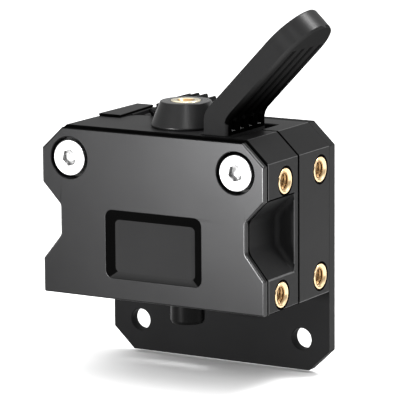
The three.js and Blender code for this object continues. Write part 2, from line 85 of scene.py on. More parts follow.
BODY_OF = {n: b for b, ns in RECORD["behaviour"]["bodies"].items() for n in ns}

W = (_hi.x - _lo.x) * 500                       # half width
COVER_TOP = bench("front_cover")[1].z
FH = bench("front_housing")
RH = bench("rear_housing")
PLATE = bench("motor_plate")
TOP = FH[1].z                                   # housing top
PAD_TOP = RH[1].z
CX, CZ = 3.85, 3.62                             # corner chamfer
NOTCH_Z = (5.6, 9.75, 14.75, 18.3)
NOTCH_D = 3.4
FY0, FY1 = 1.3, 11.1
RY0, RY1 = 11.4, 21.55
PY0, PY1 = PLATE[0].y, PLATE[1].y
SHAFT = bench("drive_shaft")
DX, DZ = (SHAFT[0].x + SHAFT[1].x) / 2, (SHAFT[0].z + SHAFT[1].z) / 2
PIN = bench("idler_pin")
IX, IZ = (PIN[0].x + PIN[1].x) / 2, (PIN[0].z + PIN[1].z) / 2
PIV = bench("lever_pivot_pin")
PX, PZ = (PIV[0].x + PIV[1].x) / 2, (PIV[0].z + PIV[1].z) / 2
TUBE = bench("guide_tube")
TX, TY = (TUBE[0].x + TUBE[1].x) / 2, (TUBE[0].y + TUBE[1].y) / 2
MX, MZ = 0.0, (PLATE[0].z + PLATE[1].z) / 2     # motor axis
BOLT = 15.5


# ---------------------------------------------------------------- 2-D helpers
def area2(p):
    return sum(a[0] * b[1] - b[0] * a[1] for a, b in zip(p, p[1:] + p[:1]))


def ccw(p):
    return list(p) if area2(p) > 0 else list(reversed(p))


def fillet(points, radii, closed=True, step=14):
    """Rounds each corner of a polygon or an open line with its own radius."""
    n = len(points)
    if not isinstance(radii, (list, tuple)):
        radii = [radii] * n
    out = []
    for i in range(n):
        if not closed and i in (0, n - 1):
            out.append(points[i])
            continue
        p, q, r = Vector(points[i - 1]), Vector(points[i]), Vector(points[(i + 1) % n])
        a, b = (p - q), (r - q)
        la, lb = a.length, b.length
        a.normalize(), b.normalize()
        turn = math.pi - math.acos(max(-1, min(1, a.dot(b))))
        rad = radii[i]
        if rad <= 0 or turn < 0.02:
            out.append(points[i])
            continue
        t = min(rad * math.tan(turn / 2), la * 0.48, lb * 0.48)
        rad = t / math.tan(turn / 2)
        mid = (a + b).normalized()
        c = q + mid * (rad / math.cos(turn / 2))
        s, e = q + a * t - c, q + b * t - c
        k = max(2, math.ceil(math.degrees(turn) / step))
        a0 = math.atan2(s.y, s.x)
        d = math.atan2(s.x * e.y - s.y * e.x, s.dot(e))
        for j in range(k + 1):
            w = a0 + d * j / k
            out.append((c.x + rad * math.cos(w), c.y + rad * math.sin(w)))
    return out


def inset(poly, d):
    """Moves an anticlockwise outline inwards by d (outwards when negative)."""
    n, out = len(poly), []
    for i in range(n):
        p, q, r = Vector(poly[i - 1]), Vector(poly[i]), Vector(poly[(i + 1) % n])
        e1, e2 = (q - p).normalized(), (r - q).normalized()
        n1, n2 = Vector((-e1.y, e1.x)), Vector((-e2.y, e2.x))
        k = d / max(0.2, 1 + n1.dot(n2))
        out.append((q.x + (n1.x + n2.x) * k, q.y + (n1.y + n2.y) * k))
    return out


def circle(cx, cy, r, n=64, a0=0.0):
    return [(cx + r * math.cos(a0 + 2 * math.pi * i / n), cy + r * math.sin(a0 + 2 * math.pi * i / n)) for i in range(n)]


def rrect(x0, x1, y0, y1, r, step=14):
    return fillet([(x0, y0), (x1, y0), (x1, y1), (x0, y1)], r, step=step)


def edge_levels(h0, h1, b0, b1, k=3):
    """Levels for a slab from h0 to h1 with edges rounded by b0 and b1."""
    out = []
    if b0 > 0:
        out += [(b0 * (1 - math.sin(math.pi / 2 * i / k)), h0 + b0 * (1 - math.cos(math.pi / 2 * i / k))) for i in range(k + 1)]
    else:
        out.append((0, h0))
    if b1 > 0:
        out += [(b1 * (1 - math.sin(math.pi / 2 * i / k)), h1 - b1 * (1 - math.cos(math.pi / 2 * i / k))) for i in range(k, -1, -1)]
    else:
        out.append((0, h1))
    return out


# --------------------------------------------------------------- mesh helpers
PLACE = {
    "Y": lambda a, b, h: (a, h, b),
    "Z": lambda a, b, h: (a, b, h),
    "X": lambda a, b, h: (h, a, b),
}


def make(name, verts, faces):
    me = bpy.data.meshes.new(name)
    me.from_pydata([tuple(v) for v in verts], [], faces)
    bm = bmesh.new()
    bm.from_mesh(me)
    bmesh.ops.recalc_face_normals(bm, faces=bm.faces)
    if bm.calc_volume(signed=True) < 0:
        bmesh.ops.reverse_faces(bm, faces=bm.faces)
    bmesh.ops.triangulate(bm, faces=[f for f in bm.faces if len(f.verts) > 4])
    bm.to_mesh(me)
    bm.free()
    o = bpy.data.objects.new(name, me)
    SCENE.collection.objects.link(o)
    return o


def loft(outline, levels, axis="Y", name="t"):
    """A solid made of one outline, moved inwards by d at height h for each (d, h)."""
    base = ccw(outline)
    n, verts, faces = len(base), [], []
    for d, h in levels:
        verts += [PLACE[axis](x, y, h) for x, y in (inset(base, d) if abs(d) > 1e-9 else base)]
    for k in range(len(levels) - 1):
        a, b = k * n, (k + 1) * n
        faces += [(a + i, a + (i + 1) % n, b + (i + 1) % n, b + i) for i in range(n)]
    faces.append(tuple(range(n))[::-1])
    m = (len(levels) - 1) * n
    faces.append(tuple(range(m, m + n)))
    return make(name, verts, faces)


def slab(outline, h0, h1, axis="Y", b=0.0, b1=None, k=3):
    return loft(outline, edge_levels(h0, h1, b, b if b1 is None else b1, k), axis)


def rod(r, c, h0, h1, axis="Y", n=64, b=0.0):
    return slab(circle(c[0], c[1], r, n), h0, h1, axis, b)


def lathe(profile, c, axis="Y", n=72, ring=False, name="t", pitch=0.5, hand=1.0, lobes=0):
    """Turns (radius, height[, thread depth]) points about a line along the axis."""
    verts, rows, faces = [], [], []
    for p in profile:
        r, h = p[0], p[1]
        amp = p[2] if len(p) > 2 else 0.0
        if r < 1e-6:
            rows.append([len(verts)])
            verts.append(PLACE[axis](c[0], c[1], h))
            continue
        rows.append(list(range(len(verts), len(verts) + n)))
        for i in range(n):
            a = 2 * math.pi * i / n
            rr = r
            if amp:
                if lobes:
                    w = 0.5 + 0.5 * math.cos(lobes * a)
                else:
                    w = (h / pitch - hand * i / n) % 1.0
                    w = min(1.0, max(0.0, (abs(2 * w - 1) - 0.08) / 0.8))
                rr = r + amp * w
            verts.append(PLACE[axis](c[0] + rr * math.cos(a), c[1] + rr * math.sin(a), h))
    pairs = list(zip(rows, rows[1:])) + ([(rows[-1], rows[0])] if ring else [])
    for a, b in pairs:
        if len(a) == 1 and len(b) == 1:
            continue
        for i in range(n):
            j = (i + 1) % n
            if len(a) == 1:
                faces.append((a[0], b[j], b[i]))
            elif len(b) == 1:
                faces.append((a[i], a[j], b[0]))
            else:
                faces.append((a[i], a[j], b[j], b[i]))
    if not ring:
        if len(rows[0]) > 1:
            faces.append(tuple(rows[0]))
        if len(rows[-1]) > 1:
            faces.append(tuple(rows[-1]))
    return make(name, verts, faces)


def boolean(base, tools, op="DIFFERENCE"):
    for t in tools:
        m = base.modifiers.new("b", "BOOLEAN")
        m.operation, m.object, m.solver = op, t, "MANIFOLD"
    bpy.context.view_layer.update()
    dg = bpy.context.evaluated_depsgraph_get()
    me = bpy.data.meshes.new_from_object(base.evaluated_get(dg))
    base.modifiers.clear()
    old, base.data = base.data, me
    bpy.data.meshes.remove(old)
    for t in tools:
        d = t.data
        bpy.data.objects.remove(t)
        bpy.data.meshes.remove(d)
    return base


def cut(base, *tools):
    return boolean(base, list(tools), "DIFFERENCE")


def join(base, *tools):
    return boolean(base, list(tools), "UNION")


def common(base, *tools):
    return boolean(base, list(tools), "INTERSECT")


def open_edges(o):
    bm = bmesh.new()
    bm.from_mesh(o.data)
    bad = sum(1 for e in bm.edges if len(e.link_faces) != 2)
    vol = bm.calc_volume(signed=True)
    bm.free()
    return bad, vol


def finish_piece(o, node, material, smooth=35.0, edge=0.0, extra=()):
    """Moves a bench piece into the row frame, shades it, and ties it to its CAD node."""
    me = o.data
    bm = bmesh.new()
    bm.from_mesh(me)
    bmesh.ops.remove_doubles(bm, verts=bm.verts, dist=0.00002)
    bm.to_mesh(me)
    bm.free()
    me.transform(Matrix.Translation(BENCH) @ Matrix.Scale(0.001, 4))
    me.materials.clear()
    me.materials.append(material)
    for m in extra:
        me.materials.append(m)
    me.shade_smooth()
    me.set_sharp_from_angle(angle=math.radians(smooth))
    if edge > 0:
        b = o.modifiers.new("edge", "BEVEL")
        b.width, b.segments, b.limit_method, b.angle_limit = edge * 0.001, 2, "ANGLE", math.radians(40)
        b.use_clamp_overlap = True
        b.harden_normals = False
    plane, flat = {}, []
    for p in me.polygons:
        key = (round(p.normal.x, 3), round(p.normal.y, 3), round(p.normal.z, 3), round(p.normal.dot(p.center) * 1e5))
        flat.append(key)
        plane[key] = plane.get(key, 0.0) + p.area * 1e6
    att = me.attributes.new("__mod_weightednormals_faceweight", "INT", "FACE")
    att.data.foreach_set("value", [16384 if plane[k] > 8.0 else 0 for k in flat])
    w = o.modifiers.new("normals", "WEIGHTED_NORMAL")
    w.keep_sharp, w.mode, w.weight, w.use_face_influence = True, "FACE_AREA", 60, True
    o.name = node + "_look"
    me.name = o.name
    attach(o, BODY_OF[node])
    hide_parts(node)
    bad, vol = open_edges(o)
    lo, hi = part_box(node)
    mine = [o.matrix_world @ v.co for v in me.vertices]
    slack = max(
        max(abs(min(v[i] for v in mine) - lo[i]), abs(max(v[i] for v in mine) - hi[i])) for i in range(3)) * 1000
    print(f"PIECE {o.name} faces {len(me.polygons)} open {bad} volume {vol * 1e9:.1f} mm3 box off {slack:.2f} mm")
    return o


def tag(o, rule):
    """Gives each face of a finished piece the material index that rule(centre in bench mm, normal) names."""
    for p in o.data.polygons:
        i = rule((p.center - BENCH) * 1000, p.normal)
        if i is not None:
            p.material_index = i
    return o


# ------------------------------------------------------------------ materials
def shader(name, colour, metallic, roughness, grain=0.0, grain_size=0.12, cloud=0.06, cloud_size=6.0,
           rough_var=0.05, coat=0.0, coat_rough=0.2, specular=0.5, brushed=None, turned=None, anis=0.0):
    """A procedural finish. Sizes are in millimetres; grain is the bump height in micrometres."""
    m = bpy.data.materials.new(name)
    m.use_nodes = True
    nt = m.node_tree
    nt.nodes.clear()
    out = nt.nodes.new("ShaderNodeOutputMaterial")
    bsdf = nt.nodes.new("ShaderNodeBsdfPrincipled")
    nt.links.new(bsdf.outputs[0], out.inputs[0])
    bsdf.inputs["Metallic"].default_value = metallic
    bsdf.inputs["Specular IOR Level"].default_value = specular
    bsdf.inputs["Coat Weight"].default_value = coat
    bsdf.inputs["Coat Roughness"].default_value = coat_rough
    bsdf.inputs["Anisotropic"].default_value = anis
    co = nt.nodes.new("ShaderNodeTexCoord")
    # broad, faint clouding of the colour
    n1 = nt.nodes.new("ShaderNodeTexNoise")
    n1.inputs["Scale"].default_value = 1000.0 / cloud_size
    n1.inputs["Detail"].default_value = 3.0
    n1.inputs["Roughness"].default_value = 0.55
    nt.links.new(co.outputs["Object"], n1.inputs["Vector"])
    ramp = nt.nodes.new("ShaderNodeValToRGB")
    c = colour
    ramp.color_ramp.elements[0].position, ramp.color_ramp.elements[1].position = 0.3, 0.72
    ramp.color_ramp.elements[0].color = (c[0] * (1 - cloud), c[1] * (1 - cloud), c[2] * (1 - cloud), 1)
    ramp.color_ramp.elements[1].color = (c[0] * (1 + cloud), c[1] * (1 + cloud), c[2] * (1 + cloud), 1)
    nt.links.new(n1.outputs["Fac"], ramp.inputs["Fac"])
    nt.links.new(ramp.outputs["Color"], bsdf.inputs["Base Color"])
    # fine grain: roughness and bump
    n2 = nt.nodes.new("ShaderNodeTexNoise")
    n2.inputs["Scale"].default_value = 1000.0 / grain_size
    n2.inputs["Detail"].default_value = 2.0
    n2.inputs["Roughness"].default_value = 0.6
    vec = co.outputs["Object"]
    if brushed:
        mp = nt.nodes.new("ShaderNodeMapping")
        mp.inputs["Scale"].default_value = brushed
        nt.links.new(vec, mp.inputs["Vector"])
        vec = mp.outputs["Vector"]
    nt.links.new(vec, n2.inputs["Vector"])
    height = n2.outputs["Fac"]
    if turned:
        # fine rings left by turning, about the given axis
        axis, centre, pitch, depth = turned
        mp = nt.nodes.new("ShaderNodeMapping")
        mp.vector_type = "POINT"
        mp.inputs["Location"].default_value = [-v for v in centre]
        nt.links.new(co.outputs["Object"], mp.inputs["Vector"])
        wv = nt.nodes.new("ShaderNodeTexWave")
        wv.wave_type = "RINGS"
        wv.rings_direction = axis
        wv.inputs["Scale"].default_value = 1000.0 / (pitch * 20.0) * 3.14159
        wv.inputs["Distortion"].default_value = 0.4
        nt.links.new(mp.outputs["Vector"], wv.inputs["Vector"])
        mix = nt.nodes.new("ShaderNodeMath")
        mix.operation = "MULTIPLY_ADD"
        mix.inputs[1].default_value = depth
        nt.links.new(wv.outputs["Fac"], mix.inputs[0])
        nt.links.new(height, mix.inputs[2])
        height = mix.outputs[0]
    rr = nt.nodes.new("ShaderNodeMapRange")
    rr.inputs["From Min"].default_value, rr.inputs["From Max"].default_value = 0.3, 0.7
    rr.inputs["To Min"].default_value = max(0.03, roughness - rough_var)
    rr.inputs["To Max"].default_value = min(1.0, roughness + rough_var)
    nt.links.new(n2.outputs["Fac"], rr.inputs["Value"])
    nt.links.new(rr.outputs["Result"], bsdf.inputs["Roughness"])
    if grain > 0:
        bump = nt.nodes.new("ShaderNodeBump")
        bump.inputs["Strength"].default_value = 1.0
        bump.inputs["Distance"].default_value = grain * 1e-6
        nt.links.new(height, bump.inputs["Height"])
        nt.links.new(bump.outputs["Normal"], bsdf.inputs["Normal"])
    return m


MAT = {
    "cover_metal": shader("gunmetal", (0.0128, 0.0128, 0.013), 1.0, 0.31, grain=1.2, grain_size=0.11, cloud=0.05, cloud_size=9, rough_var=0.03),
    # cover_edge_highlight: a lighter copy of the gunmetal on the right-facing front bevels, a painted highlight
    "cover_edge_highlight": shader("gunmetal_painted_highlight", (0.050, 0.050, 0.0505), 1.0, 0.34, grain=0.8, grain_size=0.11, cloud=0.10, cloud_size=2, rough_var=0.05),
    # cover_lit_lower_wall: the recess's upward-facing wall in a lighter tone than its other walls, painted light
    "cover_lit_lower_wall": shader("recess_lower_wall_painted_lit", (0.0055, 0.0055, 0.0056), 0.0, 0.55, grain=1.5, grain_size=0.10, cloud=0.05, cloud_size=7, specular=0.05),
    "cover_recess": shader("recess_floor", (0.0075, 0.0075, 0.0077), 0.0, 0.60, grain=2.0, grain_size=0.10, cloud=0.05, cloud_size=7, specular=0.06),
    # cover_bezel_and_shade: near black for the recess's other walls, partly their own dark finish and partly painted
    # shade, and for the cover's top bevel, a painted shadow of the joint above it
    "cover_bezel_and_shade": shader("recess_walls_and_painted_shade", (0.0012, 0.0012, 0.0012), 0.0, 0.60, grain=1.0, grain_size=0.09, cloud=0.05, cloud_size=5, specular=0.0),
    "housing_plastic": shader("black_anodised", (0.0085, 0.0085, 0.0087), 0.0, 0.42, grain=2.0, grain_size=0.10, cloud=0.08, cloud_size=8, specular=0.06),
    # housing_edge_highlight: a lighter copy of the housing plastic on the narrow rounded edges, a painted highlight
    "housing_edge_highlight": shader("painted_edge_highlight", (0.045, 0.045, 0.046), 0.0, 0.40, grain=1.5, grain_size=0.10, cloud=0.15, cloud_size=1.5, specular=0.25),
    # housing_pocket_shade: a darker copy of the housing plastic for the side pockets, painted shade
    "housing_pocket_shade": shader("pocket_painted_shade", (0.0065, 0.0065, 0.0067), 0.0, 0.50, grain=2.0, grain_size=0.10, cloud=0.08, cloud_size=8, specular=0.06),
    # gap_and_shade_black: near black for the faces and bevels at the joints, painted shadow in the gaps, and for the
    # walls of the insert holes and the sides of the top strip, painted shadow
    "gap_and_shade_black": shader("joint_shadow", (0.0015, 0.0015, 0.0015), 0.0, 0.70, grain=1.5, grain_size=0.10, cloud=0.08, cloud_size=4, specular=0.0),
    "plate_metal": shader("plate_black", (0.0062, 0.0062, 0.0064), 0.0, 0.55, grain=2.5, grain_size=0.12, cloud=0.08, cloud_size=9, specular=0.02),
    "black_plastic": shader("moulded_black", (0.004, 0.004, 0.0041), 0.0, 0.33, grain=1.6, grain_size=0.14, cloud=0.08, cloud_size=6, specular=0.22),
    # cone_rim_lit: a lighter, glossier copy of the cone plastic for its top face, painted light
    "cone_rim_lit": shader("cone_rim_lit", (0.014, 0.014, 0.0142), 0.0, 0.26, grain=1.2, grain_size=0.14, cloud=0.08, cloud_size=4, specular=0.32),
    # lever_grip_and_shade: a matte moulded grip, painted darker towards the stub by the colour run below, painted shade
    "lever_grip_and_shade": shader("lever_grip_and_shade", (0.020, 0.020, 0.0203), 0.0, 0.80, grain=3.0, grain_size=0.18, cloud=0.08, cloud_size=5, specular=0.0),
    # lever_groove_glint: light grey on the lower ends of the grooves, painted glints
    "lever_groove_glint": shader("lever_groove_glint", (0.30, 0.30, 0.30), 0.0, 0.35, grain=1.0, grain_size=0.15, cloud=0.3, cloud_size=0.5, specular=0.5),
    "gear_plastic": shader("gear_black", (0.0016, 0.0016, 0.0016), 0.0, 0.30, grain=1.0, grain_size=0.16, cloud=0.08, cloud_size=4, specular=0.04),
    "screw_steel": shader("bright_screw", (0.90, 0.90, 0.90), 1.0, 0.26, grain=0.5, grain_size=0.10, cloud=0.02, cloud_size=3, rough_var=0.04),
    # screw_socket_shade: a darker, mottled copy of the screw steel inside the hex socket, painted shade
    "screw_socket_shade": shader("screw_socket_shade", (0.34, 0.34, 0.34), 1.0, 0.30, grain=2.0, grain_size=0.25, cloud=0.75, cloud_size=0.7, rough_var=0.1),
    "dark_steel": shader("black_oxide", (0.05, 0.05, 0.052), 0.9, 0.35, grain=1.0, grain_size=0.08, cloud=0.1, cloud_size=2),
    "bright_steel": shader("ground_steel", (0.62, 0.62, 0.63), 1.0, 0.22, grain=0.5, grain_size=0.05, cloud=0.04, cloud_size=3, brushed=(1, 12, 1)),
    "hob_steel": shader("hardened_steel", (0.42, 0.42, 0.43), 1.0, 0.30, grain=0.8, grain_size=0.07, cloud=0.08, cloud_size=2),
    "spring_steel": shader("spring_wire", (0.50, 0.50, 0.51), 1.0, 0.28, grain=0.5, grain_size=0.05, cloud=0.05, cloud_size=1.5),
    "insert_brass": shader("insert_brass", (0.80, 0.59, 0.34), 1.0, 0.22, grain=0.6, grain_size=0.08, cloud=0.08, cloud_size=1.5),
    # insert_thread_shade: darker brass inside the bores of the inserts and the bush, painted shade
    "insert_thread_shade": shader("insert_thread_shade", (0.36, 0.22, 0.10), 1.0, 0.30, grain=0.6, grain_size=0.08, cloud=0.10, cloud_size=1.0),
    "bush_brass": shader("bush_brass", (0.92, 0.84, 0.62), 1.0, 0.24, grain=0.6, grain_size=0.08, cloud=0.06, cloud_size=1.5),
    "pinion_brass": shader("pinion_brass", (0.78, 0.56, 0.26), 1.0, 0.30, grain=0.6, grain_size=0.06, cloud=0.06, cloud_size=2, brushed=(1, 10, 1)),
    "tube_plastic": shader("tube_ptfe", (0.80, 0.80, 0.78), 0.0, 0.45, grain=0.8, grain_size=0.15, cloud=0.03, cloud_size=4),
}



def fade_roughness(m, axis_dir, start, end, r0, r1, spread=0.04):
    """Runs a material's roughness from r0 to r1 along a direction, start and end in bench mm; fine grain stays on top."""
    nt = m.node_tree
    bsdf = next(n for n in nt.nodes if n.type == "BSDF_PRINCIPLED")
    rr = next(n for n in nt.nodes if n.type == "MAP_RANGE")
    co = next(n for n in nt.nodes if n.type == "TEX_COORD")
    dot = nt.nodes.new("ShaderNodeVectorMath")
    dot.operation = "DOT_PRODUCT"
    dot.inputs[1].default_value = axis_dir
    nt.links.new(co.outputs["Object"], dot.inputs[0])
    off = Vector(axis_dir).dot(BENCH)
    run = nt.nodes.new("ShaderNodeMapRange")
    run.interpolation_type = "SMOOTHSTEP"
    run.inputs["From Min"].default_value = start * 0.001 + off
    run.inputs["From Max"].default_value = end * 0.001 + off
    run.inputs["To Min"].default_value, run.inputs["To Max"].default_value = r0, r1
    nt.links.new(dot.outputs["Value"], run.inputs["Value"])
    rr.inputs["To Min"].default_value, rr.inputs["To Max"].default_value = -spread, spread
    add = nt.nodes.new("ShaderNodeMath")
    add.operation = "ADD"
    nt.links.new(run.outputs["Result"], add.inputs[0])
    nt.links.new(rr.outputs["Result"], add.inputs[1])
    nt.links.new(add.outputs[0], bsdf.inputs["Roughness"])
    return m


def fade_colour(m, axis_dir, start, end, c0, c1):
    """Runs a material's colour from c0 to c1 along a direction, start and end in bench mm, with a little noise along
    the run; it takes the place of the clouding.
    """
    nt = m.node_tree
    bsdf = next(n for n in nt.nodes if n.type == "BSDF_PRINCIPLED")
    co = next(n for n in nt.nodes if n.type == "TEX_COORD")
    noise = nt.nodes.new("ShaderNodeTexNoise")
    noise.inputs["Scale"].default_value = 400.0
    nt.links.new(co.outputs["Object"], noise.inputs["Vector"])
    dot = nt.nodes.new("ShaderNodeVectorMath")
    dot.operation = "DOT_PRODUCT"
    dot.inputs[1].default_value = axis_dir
    nt.links.new(co.outputs["Object"], dot.inputs[0])
    wob = nt.nodes.new("ShaderNodeMath")
    wob.operation = "MULTIPLY_ADD"
    wob.inputs[1].default_value = 0.0015
    nt.links.new(noise.outputs["Fac"], wob.inputs[0])
    nt.links.new(dot.outputs["Value"], wob.inputs[2])
    off = Vector(axis_dir).dot(BENCH)
    run = nt.nodes.new("ShaderNodeMapRange")
    run.interpolation_type = "SMOOTHSTEP"
    run.inputs["From Min"].default_value = start * 0.001 + off
    run.inputs["From Max"].default_value = end * 0.001 + off
    nt.links.new(wob.outputs[0], run.inputs["Value"])
    ramp = nt.nodes.new("ShaderNodeValToRGB")
    ramp.color_ramp.elements[0].color = tuple(c0) + (1,)
    ramp.color_ramp.elements[1].color = tuple(c1) + (1,)
    nt.links.new(run.outputs["Result"], ramp.inputs["Fac"])
    nt.links.new(ramp.outputs["Color"], bsdf.inputs["Base Color"])
    return m


# the grip's colour runs from near black at the stub to dark grey at the tip: painted shade under the lever
fade_colour(MAT["lever_grip_and_shade"], (0.691, 0.0, 0.723), 0.691 * 10.09 + 0.723 * 33.364 + 1.0, 0.691 * 10.09 + 0.723 * 33.364 + 17.0, (0.0006,) * 3, (0.016,) * 3)
MAT["lever"] = fade_roughness(
    shader("lever_black", (0.0024, 0.0024, 0.0025), 0.0, 0.5, grain=1.6, grain_size=0.14, cloud=0.08, cloud_size=6, specular=0.17),
    (0.691, 0.0, 0.723), 0.691 * 10.09 + 0.723 * 33.364 + 14.5, 0.691 * 10.09 + 0.723 * 33.364 + 18.5, 0.85, 0.36)

# ------------------------------------------------------------------- outlines
R_EDGE = 0.3


def outline(top, notched, r=R_EDGE, rn=1.0):
    a, b, c, d = NOTCH_Z
    i = W - NOTCH_D
    right = [(W, 0), (W, a), (i, b), (i, c), (W, d)] if notched else [(W, 0)]
    rr = [r, r, rn, rn, r] if notched else [r]
    pts = right + [(W, top - CZ), (W - CX, top), (-(W - CX), top), (-W, top - CZ)]
    pts += [(-x, z) for x, z in reversed(right)]
    return fillet(pts, rr + [r] * 4 + list(reversed(rr)), step=12)


def screws_xz():
    return [(-BOLT, MZ + BOLT), (BOLT, MZ + BOLT)]


INSERTS = {}
for n in frame["nodes"]:
    if n.startswith("insert_"):
        lo, hi = bench(n)
        INSERTS[n] = (1 if lo.x > 0 else -1, (lo.y + hi.y) / 2, (lo.z + hi.z) / 2)


def insert_holes(front):
    out = []
    for n, (s, y, z) in INSERTS.items():
        if ("front" in n) == front:
            x0, x1 = W - 3.3, W + 1
            prof = [(0, x0), (2.21, x0), (2.21, W - 0.30), (2.45, W), (2.45, x1), (0, x1)]
            out.append(lathe([(r, s * h) for r, h in prof], (y, z), "X", n=48))
    return out


# ---------------------------------------------------------------- front cover
def front_cover():
    body = loft(outline(COVER_TOP, True, r=0.32, rn=1.0), edge_levels(0.0, 1.0, 0.28, 0.08), "Y")
    holes = []
    for x, z in screws_xz():
        holes.append(lathe([(0, -1), (3.56, -1), (3.56, 0.0), (3.44, 0.12), (3.44, 2), (0, 2)], (x, z), "Y", n=96))
    # window recess: a rounded rim, sloping walls and a flat floor
    x, hw, z0, z1 = 0.25, 8.95, 3.5, 14.7
    rings = []
    for (g, dx, db, dt, r) in [(-0.5, -0.1, -0.1, -0.1, 1.4), (0.0, -0.1, -0.1, -0.1, 1.4), (0.03, -0.03, -0.03, -0.03, 1.33), (0.10, 0, 0, 0, 1.3),
                               (0.60, 1.5, 1.0, 1.6, 0.8)]:
        rings.append((g, rrect(x - hw + dx, x + hw - dx, z0 + db, z1 - dt, r, step=9)))
    n = len(rings[0][1])
    verts = [(px, g, pz) for g, ring in rings for px, pz in ring]
    faces = []
    for k in range(len(rings) - 1):
        a, b = k * n, (k + 1) * n
        faces += [(a + i, a + (i + 1) % n, b + (i + 1) % n, b + i) for i in range(n)]
    faces.append(tuple(range(n)))
    faces.append(tuple(range((len(rings) - 1) * n, len(rings) * n)))
    body = cut(body, make("t", verts, faces), *holes)
    o = finish_piece(body, "front_cover", MAT["cover_metal"], smooth=32, extra=(MAT["cover_bezel_and_shade"], MAT["cover_recess"], MAT["cover_edge_highlight"], MAT["cover_lit_lower_wall"]))

    def rule(c, n):
        if abs(c.x - x) < hw + 0.05 and z0 - 0.05 < c.z < z1 + 0.05 and c.y > 0.09:
            if abs(n.y) > 0.98 and abs(c.y - 0.6) < 0.02:
                return 2
            # upward-facing recess walls get the lighter tone (painted light), the other walls near black (own dark
            # finish and painted shade)
            if c.y < 0.62:
                return 4 if n.z > 0.3 else 1
        # the cover's top bevel is painted near black as the shadow in the joint above the cover
        if c.z > COVER_TOP - 0.4 and n.z > 0.35 and abs(n.x) < 0.3:
            return 1
        # the right-facing front bevels get the lighter gunmetal: painted highlight
        if c.y < 0.29 and abs(n.x) > 0.2 and n.y < -0.1 and abs(c.x) > 13 and abs(n.y) < 0.98 and min((c.x - q[0]) ** 2 + (c.z - q[1]) ** 2 for q in screws_xz()) > 14:
            return 3
        return None
    tag(o, rule)
    return o


# -------------------------------------------------------------- front housing
def near_insert(c, n):
    """The wall and broken edge of an insert's hole."""
    if abs(c.x) < W - 3.4 or abs(n.x) > 0.95:
        return False
    return any((c.y - y) ** 2 + (c.z - z) ** 2 < 2.6 ** 2 and s * c.x > 0 for s, y, z in INSERTS.values())


def on_edge(c, n):
    """The narrow rounded edges that run front to back, and the broken back edge of each side pocket."""
    if abs(n.y) > 0.2:
        return 9.85 < c.y < 10.4 and abs(c.x) > W - 0.2 and abs(n.x) > 0.3
    for px, pz in ((W, TOP - CZ), (W - CX, TOP), (W, 0.0), (W, NOTCH_Z[0]), (W, NOTCH_Z[3])):
        if (abs(c.x) - px) ** 2 + (c.z - pz) ** 2 < 0.3 ** 2:
            flat = max(abs(n.x), abs(n.z), abs(n.x) * 0.6851 + n.z * 0.7285)
            return flat < 0.992
    return False


def notch_tool(s):
    a, b, c, d = NOTCH_Z
    pts = [(s * (W + 1.6), a - 1.95), (s * W, a), (s * (W - NOTCH_D), b), (s * (W - NOTCH_D), c), (s * W, d), (s * (W + 1.6), d + 1.67)]
    return loft(fillet(pts, [0, 0, 2.3, 2.3, 0, 0], step=8), edge_levels(-1.0, 9.9, 0, 0.9, 7), "Y")


def top_slot():
    return loft(rrect(7.75, 13.8, 2.3, 17.4, 0.35), [(0, 24.8), (0, TOP - 0.12), (-0.12, TOP), (-0.12, TOP + 2)], "Z")


